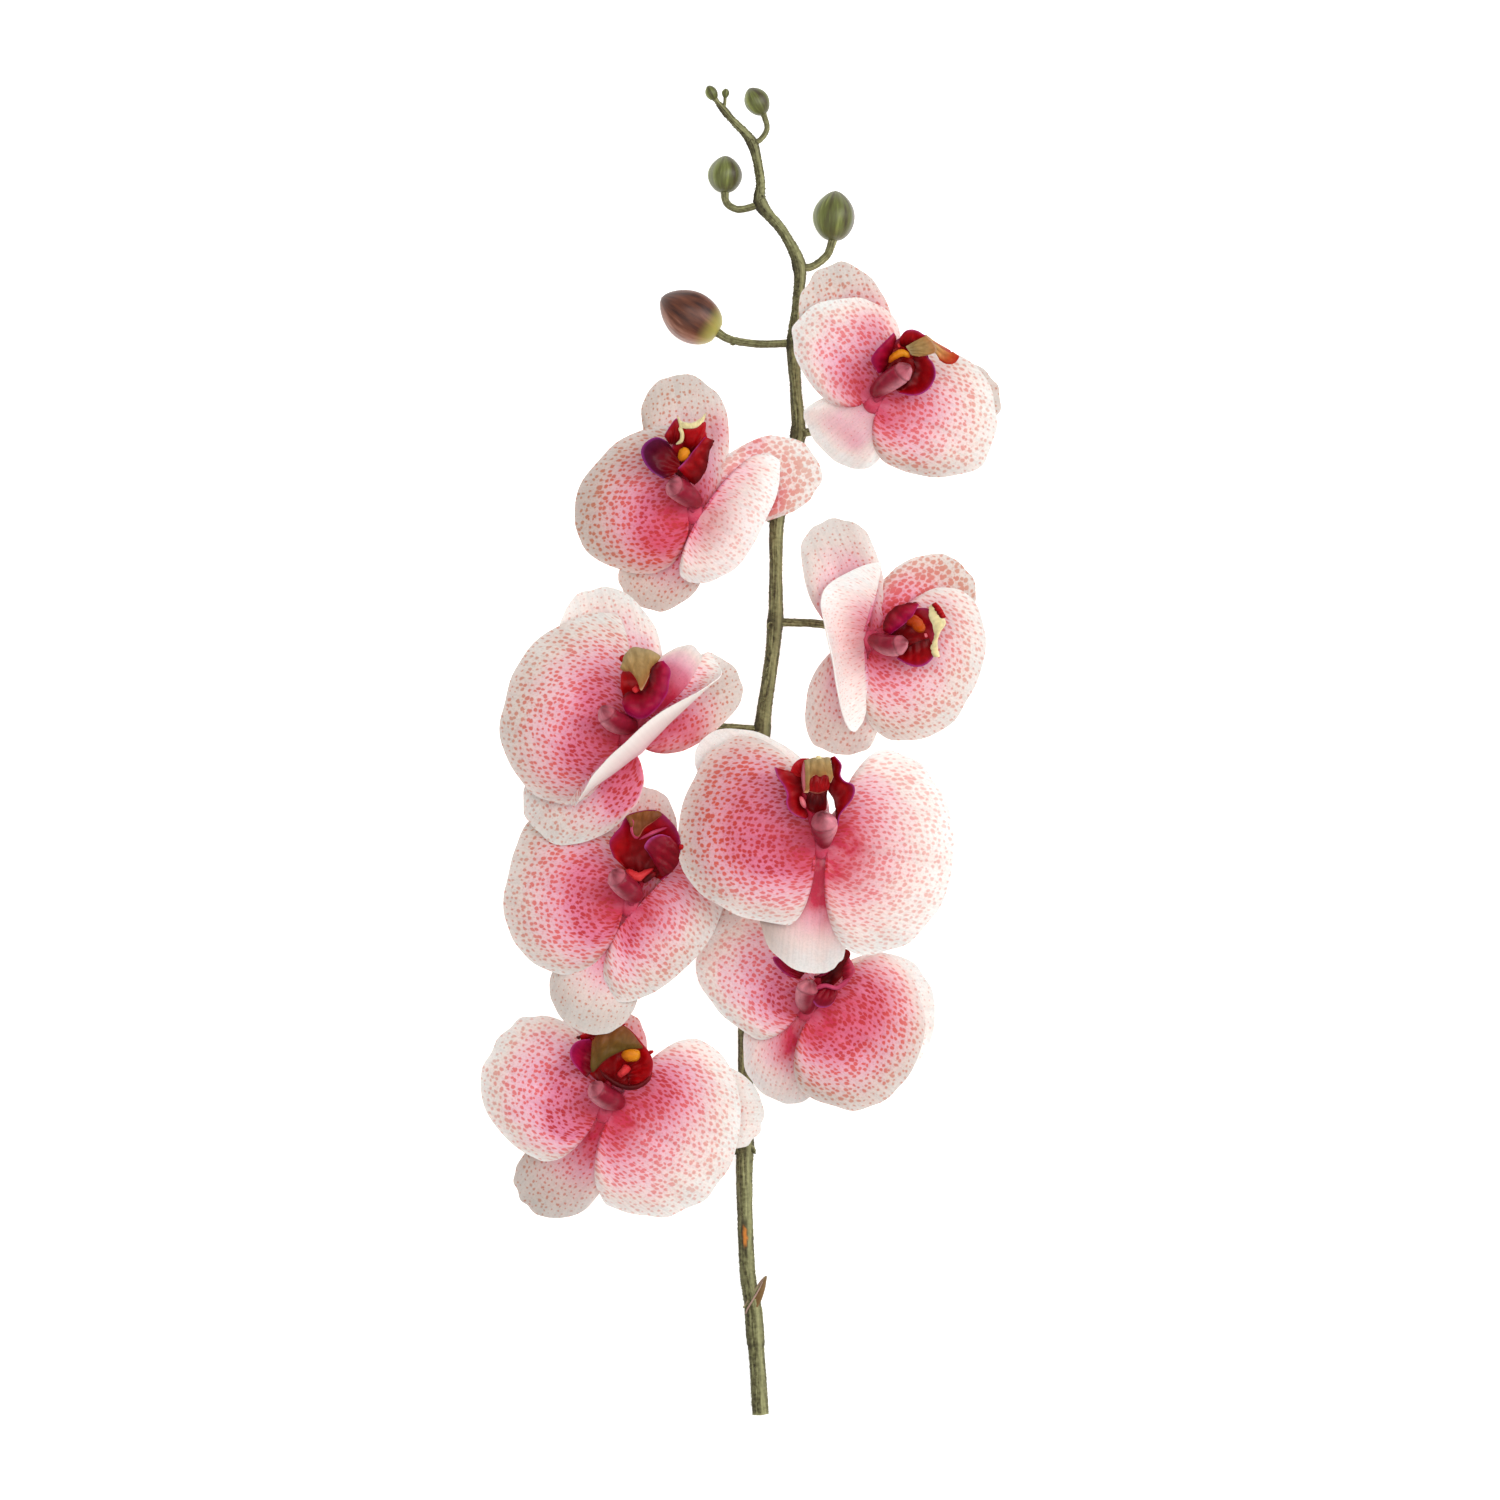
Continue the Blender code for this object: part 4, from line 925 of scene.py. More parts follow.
                 (10.8, -75.1, 12), (10.4, -73.0, 12.3), (14.0, -74.1, 12), (18.3, -76.5, 10)), 0.6),
            lobe("rose", ((35.4, -83.1, 9.5), (35.1, -78.6, 10.8), (36.3, -75.0, 11.8)), ((37.8, -81.2, 11),
                 (39.5, -78.3, 12), (38.9, -75.9, 12.6), (37.5, -73.3, 13)), 0.8),
            lobe("mauve", ((33.1, -84.2, 10.5), (29.1, -83.6, 10.5)), ((33.3, -86.1, 10.2),
                 (31.6, -89.5, 10.6), (29.1, -91.1, 11), (26.0, -90.7, 11.2), (24.4, -88.4, 11.2),
                 (24.8, -86.1, 11)), 1.8),
        ),
        "limbs": (
            limb("rim", ((38.2, -80.0, 11.6), (36.0, -82.2, 11.6), (33.0, -84.2, 11.6), (29.1, -83.4, 11.8),
                 (26.0, -84.3, 11.8), (24.5, -86.7, 11.6)), (0.5, 0.9, 0.8, 0.8, 0.8, 0.4)),
        ),
    },
    "bloom_8": {
        "centre": (-50.0, -129.0, 22.5),
        "petals": (
            blade(157, 47, (25, 15), (24, 31), 2, pale=(0.5, 0.4, 0.5), shade=(0.1, 0.2, 0.1), deep=0.2),
            blade(-28, 48.5, (39, 19), (29, 18), 2, pale=(0.4, -0.2, 0.2), shade=0.1, deep=0.5,
                  stains=((-28, -124, 13, 0.35),)),
        ),
        "sepals": (
            blade(90, 38, (20, 22), (15, 25), 4, pale=0.5, stains=((-36, -101, 9, 0.45),)),
            blade(-3, 57, (19, 38), (12, 42), 6, pale=(0.1, 0.0, 0.0), shade=(0.1, 0.2, 0.3)),
            blade(-127, 45, (16, 27), (14, 32), 21.6, pale=(0.1, -0.3, -0.2), shade=(0.3, 0.55, 0.7),
                  deep=0.5, stains=((-56, -144, 10, 0.3),)),
        ),
        "column": {"line": ((-45.7, -125.2, 4), (-50.1, -123.1, 9), (-55.1, -118.8, 12.5)),
                   "radii": (3.9, 4.0, 3.3), "pale": 210},
        "lobes": (
            lobe("red", ((-53.4, -117.2, 4.5), (-44.7, -120.2, 4.5)), ((-59.0, -111.9, 7),
                 (-58.0, -103.3, 8), (-51.4, -99.4, 9), (-43.4, -97.6, 10), (-36.4, -104.3, 9),
                 (-33.4, -109.9, 8.5), (-34.9, -116.6, 7)), 0),
            lobe("magenta", ((-56.6, -116.3, 8), (-53.0, -111.9, 7.5), (-52.8, -106.3, 8.5)),
                 ((-59.2, -113.5, 10.5), (-61.5, -110.6, 11.8), (-62.4, -107.3, 12.2),
                 (-61.3, -104.6, 12.2), (-59.0, -103.0, 11.8), (-55.4, -102.6, 10.5)), -1.8),
            lobe("red", ((-58.6, -103.0, 9.5), (-51.4, -100.6, 10.5), (-44.4, -98.6, 11)),
                 ((-58.9, -101.3, 10), (-52.0, -98.5, 12), (-46.6, -95.7, 12.8), (-45.0, -97.1, 12.6),
                 (-42.6, -97.2, 12.2)), 0.6),
            lobe("red", ((-42.1, -111.9, 7), (-41.4, -118.7, 7)), ((-36.2, -105.2, 10.5),
                 (-34.6, -106.5, 11.5), (-33.0, -109.9, 12.2), (-33.0, -113.4, 12), (-34.6, -116.8, 11),
                 (-38.1, -119.2, 9.5)), -1.0),
            lobe("olive", ((-54.5, -103.2, 12.6), (-51.9, -100.6, 13.4), (-46.7, -98.9, 13.8),
                 (-43.1, -97.9, 13.8), (-40.5, -100.0, 13.6), (-36.4, -105.3, 13)), ((-55.1, -112.7, 11.6),
                 (-54.4, -114.5, 11.4), (-52.8, -113.1, 12), (-51.2, -111.3, 12.6), (-48.6, -109.1, 13),
                 (-44.6, -107.1, 13.2), (-41.1, -106.0, 13.2), (-36.5, -105.8, 12.8)), 0.8),
        ),
        "limbs": (
            limb("callus", ((-43.1, -109.4, 10), (-40.8, -108.1, 11.6), (-37.3, -108.9, 10.6)),
                 (1.6, 2.7, 1.8)),
            limb("coral", ((-41.5, -111.9, 9.6), (-43.1, -114.1, 9.8), (-45.4, -116.1, 9)), (1.6, 1.5, 1.0)),
            # painted shade: the dark limbs lie in the gaps between the lobes and along the lip's opening by
            # the column
            limb("dark", ((-52.0, -113.4, 10), (-49.7, -115.8, 10.2), (-46.1, -118.3, 10.4),
                 (-42.1, -119.8, 10.6), (-38.1, -119.4, 10.8), (-34.6, -117.1, 10.8), (-32.9, -113.6, 11)),
                 (0.4, 0.8, 0.9, 1.0, 1.0, 0.8, 0.4)),
            limb("dark", ((-58.8, -102.1, 10), (-60.2, -101.8, 10.4)), (0.9, 0.4)),
            limb("red", ((-34.1, -107.4, 11.4), (-32.5, -106.8, 11.8)), (0.9, 0.4)),
        ),
    },
}

tepalForm = {
    "thickness": 0.8,
    "hub": (4.2, 3.0),  # radius and half height
    "stagger": 0.2,
    "petal": {"height": 1.0, "arch": 3.0, "steps": (96, 34), "rim": 1.6, "rimFrom": 0.72, "rimThin": 0.45,
              "rib": 0.5, "ruffle": 1.4, "ruffleSize": 13.0, "scallop": 0.035},
    "sepal": {"height": -1.1, "arch": 0.6, "steps": (72, 30), "rim": 1.0, "rimFrom": 0.75, "rimThin": 0.45,
              "rib": 0.6, "ruffle": 1.0, "ruffleSize": 12.0, "scallop": 0.03},
    "curled": {"rim": 0.4, "ruffle": 0.6},
    "heartSize": 11.0,
    "deepSize": 21.0,
}
tepalLook = {
    "petal": {"pale": 0.3, "shade": (0.1, 0.3, 0.2), "dots": 1.0, "deep": 0.35, "flush": 0.0,
              "heart": 0.8, "stains": ()},
    "sepal": {"pale": -0.1, "shade": (0.3, 0.4, 0.3), "dots": 0.75, "deep": 0.3, "flush": 0.0,
              "heart": 0.8, "stains": ()},
}


def tepalPaint(kind):
    def paint(spec, turn, outShare, distance, spot):
        look = {**tepalLook[kind], **spec["look"]}
        start = threeWay(look["pale"], turn)
        pale = min(1.0, max(0.0, (outShare - start) / (1.0 - start))) * smooth(2.9, 2.1, abs(turn))
        # painted shade, growing towards the margin on the sides that turn from the light
        shade = threeWay(look["shade"], turn) * smooth(0.35, 0.95, outShare)
        throat = look["heart"] * hump(distance, tepalForm["heartSize"])
        throat += look["deep"] * hump(distance, tepalForm["deepSize"])
        throat += look["flush"] * smooth(1.0, 0.6, outShare)
        for x, y, size, share in look["stains"]:
            stain = share * math.exp(-((spot.x - x) ** 2 + (spot.y - y) ** 2) / size ** 2)
            throat += stain
            pale = max(0.0, pale - 0.7 * stain)
        throat = max(0.0, throat)
        dots = smooth(0.02, 0.15, outShare) * (1 - 0.3 * smooth(0.85, 1.0, outShare))
        return (pale, min(1.0, throat * 0.9), shade, dots * look["dots"])
    return paint


def makeTepals(name, bloom, number):
    centre = Vector(bloom["centre"])
    sheets = bmesh.new()
    for kind, seed in (("sepal", 0.0), ("petal", 0.3)):
        for i, spec in enumerate(bloom[kind + "s"]):
            form = {**tepalForm[kind], "seed": number * 1.7 + i * 0.6 + seed}
            if spec["curl"]:
                form.update(tepalForm["curled"])
            foot = centre + Vector((0, 0, form["height"] - i * tepalForm["stagger"]))
            addSheet(sheets, spec, foot, facing(spec["aim"]), form, tepalPaint(kind))
    bm = bmesh.new()
    addWalls(bm, sheets, tepalForm["thickness"], (petalUpper, petalUnder), 1)
    hubRadius, hubHalf = tepalForm["hub"]
    line = [centre + Vector((0, 0, hubHalf * (k / 6 - 1.4))) for k in range(13)]
    addRoll(bm, line, lambda angle, along, place: hubRadius * math.sin(math.pi * along) ** 0.5, 24,
            lambda angle, along, place: (0.0, 0.9, 0.0, 0.0))
    setOut(name + "_tepals_fine", bm, (petalUpper, petalUnder), name + "_tepals", "tepal_pink", 60)


# Column: a club with a pale cap and a pale side, and painted shade for the dark hollow that faces the lip

columnForm = {"sides": 44, "rings": 60, "seam": 0.35, "seamAt": 0.80, "keel": 0.25, "rootRadius": 1.9,
              "rootRise": 0.8, "rootShift": 0.72}
# pale colours the pale side, partly the column's own rim and partly a painted highlight; the hollow's tone is
# painted shade
columnLook = {"foot": "#8e1428", "body": "#901c32", "pale": "#ea9ca8", "cap": "#c9727f", "hollowShade": "#4a0812"}
columnTones = {key: hexColour(code) for key, code in columnLook.items()}


def tone(first, second, share):
    return tuple(mixed(a, b, share) for a, b in zip(first, second))


def makeColumn(name, bloom):
    x, y, z = bloom["centre"]
    points = [(px, py, z + up) for px, py, up in bloom["column"]["line"]]
    # the foot rises steeply behind the body, from the bloom's hub
    firstX, firstY, _ = points[0]
    shift = columnForm["rootShift"]
    points.insert(0, (mixed(x, firstX, shift), mixed(y, firstY, shift), z + columnForm["rootRise"]))
    line = evenLine(points, columnForm["rings"])
    radii = (columnForm["rootRadius"],) + bloom["column"]["radii"]
    widths = [w.x for w in evenLine([(r, k * 5.0, 0) for k, r in enumerate(radii)], columnForm["rings"])]
    ahead = line[-1] - line[0]
    paleSide = facing(bloom["column"]["pale"]) @ Vector((1, 0, 0))
    front = 1 if paleSide.cross(ahead).z > 0 else -1

    def radiusAt(angle, along, place):
        i = line.index(place)
        ends = min(1.0, along / 0.10) ** 0.5 * min(1.0, (1 - along) / 0.16) ** 0.5
        seam = columnForm["seam"] * hump(along - columnForm["seamAt"], 0.02)
        keel = columnForm["keel"] * math.cos(3 * angle) * smooth(0.3, 0.7, along)
        return max(0.2, widths[i] * ends - seam + keel)

    def paint(angle, along, place):
        # the pale side faces the bloom's given direction: the column's own paler rim with a painted highlight
        # on it
        pale = max(0.0, math.cos(angle))
        faced = max(0.0, math.sin(angle) * front)
        # painted shade: the dark cleft under the cap's edge, on the side away from the pale one, and a dark
        # line along the seam's groove
        cleftShade = hump(along - 0.97, 0.05) * (1 - pale) * (1 - 0.5 * faced)
        colour = columnTones["foot"]
        for key, share in (("body", smooth(0.25, 0.5, along)),
                           ("pale", 0.85 * pale ** 1.5 * smooth(0.2, 0.5, along)),
                           ("cap", 0.75 * smooth(0.76, 0.84, along) * (1 - 0.4 * faced)),
                           ("hollowShade", 0.7 * cleftShade),
                           ("hollowShade", 0.25 * hump(along - columnForm["seamAt"], 0.015))):
            colour = tone(colour, columnTones[key], share)
        return colour

    bm = bmesh.new()
    addRoll(bm, line, radiusAt, columnForm["sides"], paint, paleSide)
    setOut(name + "_column_fine", bm, (columnFlesh,), name + "_column", "column_mauve")


# Lip: its lobes and small limbs, each in a coat of a few tones

lipForm = {
    "thickness": 0.7,
    "sheet": {"steps": (60, 26), "ruffle": 0.9, "ruffleSize": 3.2, "creases": 4, "crease": 0.35,
              "veinStep": 0.35, "rimThin": 0.5},
    "limbSides": 18,
    "limbSteps": 10,
    "clawRadius": 1.8,
}
plainCoats = ("khaki", "umber", "olive", "cream", "tail")  # these have no dark creases
# tone of the painted shade in the lip's creases
creaseShadeTone = (0.02, 0.0, 0.002, 1.0)
# tones from a lobe's inner edge to its outer one, and from a limb's one end to the other
lipCoats = {
    "cup": ((0.0, "#5c0308"), (0.4, "#88030a"), (0.75, "#a4040c"), (0.92, "#980a26"), (1.0, "#9c2458")),
    "wing": ((0.0, "#5a0308"), (0.35, "#84030a"), (0.75, "#9e030b"), (0.93, "#940a28"), (1.0, "#a8347c")),
    "purple": ((0.0, "#98030c"), (0.35, "#7c0414"), (0.7, "#580820"), (0.93, "#500c30"), (1.0, "#862a74")),
    "magenta": ((0.0, "#60020c"), (0.3, "#8e041c"), (0.7, "#a40636"), (0.93, "#980c44"), (1.0, "#b03070")),
    "red": ((0.0, "#6a0105"), (0.4, "#a40309"), (0.9, "#b0060e"), (1.0, "#b42030")),
    "mauve": ((0.0, "#6c0210"), (0.5, "#88041c"), (0.9, "#860828"), (1.0, "#b04488")),
    "rose": ((0.0, "#7c0614"), (0.5, "#a81430"), (1.0, "#c44c68")),
    "heart": ((0.0, "#7c0408"), (0.6, "#a0060c"), (0.9, "#94050b"), (1.0, "#b86a58")),
    # dark is the lip's deepest red, and where it fills a gap or opening it stands for painted shade
    "dark": ((0.0, "#5c0306"), (0.5, "#480206"), (0.85, "#6c0308"), (1.0, "#840812")),
    "khaki": ((0.0, "#a08a62"), (0.3, "#a68654"), (0.7, "#9e7846"), (0.93, "#a87040"), (1.0, "#c99c78")),
    "umber": ((0.0, "#80481f"), (0.5, "#7a4220"), (0.9, "#733a1e"), (1.0, "#b4604c")),
    "olive": ((0.0, "#783e18"), (0.4, "#70481c"), (0.9, "#60481a"), (1.0, "#563014")),
    "cream": ((0.0, "#dccf9e"), (0.6, "#e6d49a"), (1.0, "#f0e2b0")),
    "tail": ((0.0, "#c8a870"), (0.4, "#c8844a"), (0.75, "#b84820"), (1.0, "#a81e12")),
    "callus": ((0.0, "#b43c06"), (0.4, "#d87a10"), (0.8, "#dc8c1a"), (1.0, "#b8400a")),
    "ember": ((0.0, "#901404"), (0.4, "#ae3804"), (0.8, "#bc4c06"), (1.0, "#a83c14")),
    "pink": ((0.0, "#d8505e"), (0.5, "#e87c84"), (1.0, "#d04c5e")),
    "coral": ((0.0, "#c8202a"), (0.5, "#dc3c3e"), (1.0, "#b81420")),
    "rosy": ((0.0, "#a8505a"), (0.5, "#b4606a"), (1.0, "#b85a5c")),
    "rim": ((0.0, "#a82c4e"), (0.5, "#c4466a"), (1.0, "#a01e42")),
}
coatStops = {coat: [(place, hexColour(code)) for place, code in stops] for coat, stops in lipCoats.items()}


def coatTone(coat, share):
    stops = coatStops[coat]
    for (start, first), (end, second) in zip(stops, stops[1:]):
        if share <= end:
            return tone(first, second, max(0.0, share - start) / (end - start))
    return stops[-1][1]


def coatPaint(coat, out, along):
    # painted shade of the folds: creases run from the inner edge and darken the flesh between them
    colour = coatTone(coat, out)
    if coat in plainCoats:
        return colour
    crease = 0.5 + 0.5 * math.cos(along * 26 + 3 * math.sin(along * 9 + out * 2))
    return tone(colour, creaseShadeTone, 0.2 * crease ** 3 * (1 - out) ** 0.5)


def addLimb(bm, spec, height):
    steps = lipForm["limbSteps"]
    line = smoothLine([(x, y, height + up) for x, y, up in spec["points"]], steps)
    widths = smoothValues(spec["radii"], steps)

    def radiusAt(angle, along, place):
        i = line.index(place)
        ends = min(1.0, math.sin(math.pi * i / (len(line) - 1)) * 2.2) ** 0.5
        return widths[i] * ends * (1 + 0.15 * ripple(place.x * 2, place.y * 2, angle * 2, 2.0))

    addRoll(bm, line, radiusAt, lipForm["limbSides"],
            lambda angle, along, place: coatTone(spec["coat"], along))


def makeLip(name, bloom, number):
    centre = Vector(bloom["centre"])
    sheets = bmesh.new()
    for i, spec in enumerate(bloom["lobes"]):
        addLobe(sheets, spec, centre.z, {**lipForm["sheet"], "seed": number * 2.3 + i * 0.7}, coatPaint)
    bm = bmesh.new()
    addWalls(bm, sheets, lipForm["thickness"], (lipInside, lipOutside), 1)
    for spec in bloom["limbs"]:
        addLimb(bm, spec, centre.z)
    # the claw that joins the lobes to the bloom
    start = centre + Vector((0, 0, 1))
    end = evenLine(bloom["lobes"][0]["inner"], 2)[1] + Vector((0, 0, centre.z))
    line = [start.lerp(end, k / 16 * 1.15) for k in range(17)]
    addRoll(bm, line, lambda angle, along, place: lipForm["clawRadius"] * math.sin(math.pi * along) ** 0.3,
            lipForm["limbSides"], lambda angle, along, place: coatTone("rose", 0.9 - 0.6 * along))
    setOut(name + "_lip_fine", bm, (lipInside, lipOutside), name + "_lip", "lip_crimson", 60)


for number, (name, bloom) in enumerate(blooms.items()):
    makeTepals(name, bloom, number)
    makeColumn(name, bloom)
    makeLip(name, bloom, number)
print("blooms made")


# The spike with its stalks and its sheath leaf

# x, y and height of the spike's middle line, and its radius, from the cut end to the tip
spike = (
    (5.8, -239.1, 2.9, 3.0), (4.6, -222.0, 3.1, 2.9), (3.1, -200.0, 3.6, 3.0), (1.0, -187.0, 4.0, 2.8),
    (0.2, -165.0, 4.8, 2.8), (0.0, -141.7, 5.4, 3.1), (0.3, -120.0, 6.0, 2.7), (0.4, -98.0, 6.6, 2.6),
    (1.4, -76.0, 7.2, 2.8), (4.0, -45.0, 8.0, 2.8), (5.6, -18.0, 8.4, 2.7), (6.4, 8.1, 8.8, 2.8),
    (9.0, 28.0, 9.0, 2.5), (11.0, 47.0, 9.2, 2.7), (11.3, 67.0, 9.4, 2.3), (11.8, 85.5, 9.6, 2.6),
    (15.6, 101.0, 9.6, 2.2), (19.3, 114.7, 9.6, 2.5), (18.5, 131.0, 9.6, 2.1), (17.6, 147.4, 9.6, 2.3),
    (18.8, 160.7, 9.4, 1.8), (19.7, 174.8, 9.2, 2.2), (14.3, 187.0, 8.8, 1.8), (6.0, 197.5, 8.6, 2.1),
    (5.7, 206.0, 8.8, 1.6), (2.6, 219.5, 9.4, 1.7), (-4.6, 227.8, 10.4, 1.2), (-9.6, 233.8, 11.0, 0.9),
)
stalks = {
    "bloom_1": ((19.3, 114.7, 9.6), (30.0, 117.0, 9.4), (41.0, 122.0, 13.0)),
    "bloom_2": ((11.8, 85.5, 9.6), (2.0, 84.0, 9.4), (-11.0, 84.5, 14.0)),
    "bloom_3": ((11.0, 47.0, 9.2), (29.0, 46.0, 9.6), (41.0, 41.5, 14.0)),
    "bloom_4": ((6.4, 8.1, 8.8), (-11.0, 9.0, 10.0), (-31.0, 6.5, 20.0)),
    "bloom_5": ((4.0, -45.0, 8.0), (-12.0, -48.0, 9.0), (-33.0, -54.0, 16.0)),
    "bloom_6": ((5.6, -18.0, 8.4), (13.0, -22.0, 10.0), (24.0, -31.0, 22.0)),
    "bloom_7": ((1.4, -76.0, 7.2), (8.0, -81.0, 8.4), (20.0, -90.0, 13.0)),
    "bloom_8": ((0.0, -141.7, 5.4), (-18.0, -138.0, 6.4), (-42.0, -131.0, 9.0)),
}
buds = {
    "bud_brown": {"foot": (-9.4, 151.0, 9.6), "tip": (-30.0, 163.8, 9.4), "radius": 9.2, "widest": 0.45,
                  "stalkRadius": 1.4, "stalk": ((17.6, 147.4, 9.4), (5.3, 147.1, 9.2), (-4.8, 148.6, 9.6))},
    "bud_right": {"foot": (32.0, 184.2, 7.9), "tip": (32.8, 202.4, 7.4), "radius": 7.5, "widest": 0.48,
                  "stalkRadius": 1.4, "stalk": ((19.7, 174.8, 9.2), (24.1, 174.9, 8.8), (29.6, 179.0, 8.2))},
    "bud_left": {"foot": (-7.2, 201.6, 6.4), "tip": (-6.8, 215.1, 6.0), "radius": 6.1, "widest": 0.48,
                 "stalkRadius": 1.3, "stalk": ((6.0, 197.5, 8.6), (-1.8, 195.6, 7.6), (-6.4, 198.0, 6.8))},
    "bud_upper": {"foot": (7.2, 229.8, 9.0), "tip": (1.6, 239.2, 9.0), "radius": 4.4, "widest": 0.50,
                  "stalkRadius": 1.0, "stalk": ((2.6, 219.5, 9.4), (5.9, 220.8, 9.4), (8.1, 225.0, 9.2))},
    "bud_tip": {"foot": (-10.5, 234.8, 11.1), "tip": (-13.2, 240.0, 11.6), "radius": 2.2, "widest": 0.50,
                "stalkRadius": 0.9, "stalk": ((-7.2, 231.0, 10.7), (-9.4, 233.6, 11.0))},
    "bud_small": {"foot": (-7.0, 235.4, 11.2), "tip": (-6.6, 239.0, 11.4), "radius": 1.4, "widest": 0.55,
                  "stalkRadius": 0.6, "stalk": ((-7.6, 231.4, 10.8), (-7.2, 233.4, 11.0))},
}
bract = {
    "place": (0.2, -203.0, 5.4),
    "blade": blade(63, 16.4, (1.6, 6.0), (2.6, 6.5)),
    "point": 1.8,
    "ring": -213.6,  # where it grows from the stem, along Y
    "free": (-202.0, -199.0),  # where it leaves the stem
    "edge": ((0.4, -202.2, 6.0), (1.3, -200.0, 7.9), (3.2, -196.8, 8.5), (5.3, -193.2, 7.8),
             (7.2, -189.5, 6.1)),
    "edgeRadius": 0.3,
    "sheet": {"steps": (24, 16), "arch": 1.6, "rim": 0.6, "rimFrom": 0.7, "rimThin": 0.4, "rib": 0.4,
              "ruffle": 0.5, "ruffleSize": 3.0, "scallop": 0.10, "seed": 4.0},
}
# small dry scales and stubs at the joints: foot, aim in degrees, length, half width
scales = (
    ((-1.6, -144.6, 7.6), 96, 6.0, 2.4), ((2.0, -144.0, 6.8), 80, 5.0, 2.0),
    ((9.6, 45.6, 11.2), 150, 3.6, 1.6), ((8.6, 29.6, 11.0), 165, 3.0, 1.4),
    ((8.8, 85.0, 11.0), 172, 4.4, 1.8), ((20.4, 114.6, 11.2), 12, 4.6, 1.8),
    ((5.8, 6.4, 11.0), 170, 3.4, 1.5), ((18.0, 148.6, 11.2), 165, 3.6, 1.5),
    ((19.6, 176.0, 10.8), 30, 3.4, 1.4), ((6.0, 198.6, 10.4), 160, 3.2, 1.3),
    ((2.8, 220.4, 10.8), 60, 2.8, 1.1), ((-31.6, -138.0, 8.0), 160, 2.0, 1.0),
    ((-4.6, 148.4, 10.0), 30, 2.6, 1.1),
)
scaleForm = {"rise": 8, "setBack": 2.2, "widest": 0.4,
             "sheet": {**bract["sheet"], "arch": 0.5, "steps": (10, 8), "scallop": 0.2}}
scar = {"place": (0.1, -174.2), "half": (0.75, 3.6)}
stemForm = {
    "sides": 28, "steps": 40, "fuzz": 0.24, "jointSwell": 0.35, "jointSize": 2.6,
    "furrows": 5, "furrowDepth": 0.12, "sheathThickness": 0.3, "leafThickness": 0.6,
    "stalk": {"steps": 24, "radius": 1.5, "neck": 5.0, "flare": (0.35, 6), "skin": (0.16, 1.1)},
    "budStalk": {"steps": 20, "flare": (0.25, 8), "skin": (0.12, 1.0)},
    "stalkSides": 16, "seatGap": 0.35, "hubHalf": 3.6, "budSink": 1.2,
    "hairs": 3200, "hairLength": 0.75, "hairWidth": 0.11, "tuft": 60,
}


def addAxis(bm, places, widths):
    # the spike's own stem, swollen and darker at its joints, with its leaf scar
    index = {tuple(p): i for i, p in enumerate(places)}
    joints = [Vector(s[0]) for s in stalks.values()] + [Vector(b["stalk"][0]) for b in buds.values()]
    near = [min((place - j).length for j in joints) for place in places]

    def radiusAt(angle, along, place):
        i = index[tuple(place)]
        radius = widths[i] + stemForm["jointSwell"] * hump(near[i], stemForm["jointSize"])
        radius += stemForm["fuzz"] * ripple(place.x + 8 * math.cos(angle), place.y * 1.5,
                                            8 * math.sin(angle), 1.0)
        radius += 0.14 * ripple(place.x, place.y, angle, 5.0)
        # the sheath leaf wraps the stem from its ring up to its free tip
        wrapped = smooth(bract["ring"] - 0.3, bract["ring"] + 0.3, place.y)
        radius += stemForm["sheathThickness"] * wrapped * smooth(bract["free"][1], bract["free"][0], place.y)
        furrow = math.cos(stemForm["furrows"] * angle + ripple(0, place.y, 3, 30.0) * 4)
        return radius + stemForm["furrowDepth"] * furrow

    def paint(angle, along, place):
        i = index[tuple(place)]
        # painted shade darkens the left side and the right edge, and a painted lit band runs down the right
        # flank; it is also darker at the joints, round the scar and at the sheath's ring, and pale at the cut
        # end
        left = leftOf(angle)
        right = leftOf(-angle)
        dark = 0.5 * hump(near[i], 3.5) + 0.75 * left ** 2 + 0.5 * right ** 6
        x = (place.x - widths[i] * math.sin(angle) - scar["place"][0]) / scar["half"][0]
        x += 1.1 * ripple(place.y, 0.0, 2.0, 1.6)
        y = (place.y - scar["place"][1]) / scar["half"][1]
        inFront = math.cos(angle) > 0
        mark = smooth(1.3, 0.7, math.hypot(x, y)) if inFront else 0.0
        dark += 0.8 * smooth(2.4, 1.2, math.hypot(x, y)) if inFront else 0.0
        dark += 0.6 * hump(place.y - bract["ring"], 0.7)
        cut = smooth(0.0025, 0.0, along)
        light = min(1.0, 0.55 * math.sin(math.pi * right) ** 2 + cut)
        return (min(1.0, dark) * (1 - cut), mark, 0.0, light)

    addRoll(bm, places, radiusAt, stemForm["sides"], paint)


def addStalk(bm, points, radius, form, pinkAtEnd, light):
    # one stalk, wider where it meets what it carries
    flare, power = form["flare"]
    depth, size = form["skin"]

    def radiusAt(angle, along, place):
        skin = ripple(place.x + 5 * math.cos(angle), place.y, place.z + 5 * math.sin(angle), size)
        return radius * (1 + flare * along ** power) + depth * skin

    def paint(angle, along, place):
        # painted shade on the stalk's left side
        return (0.5 * leftOf(angle), 0.0, pinkAtEnd * along ** 3, light)

    addRoll(bm, smoothLine(points, form["steps"]), radiusAt, stemForm["stalkSides"], paint)


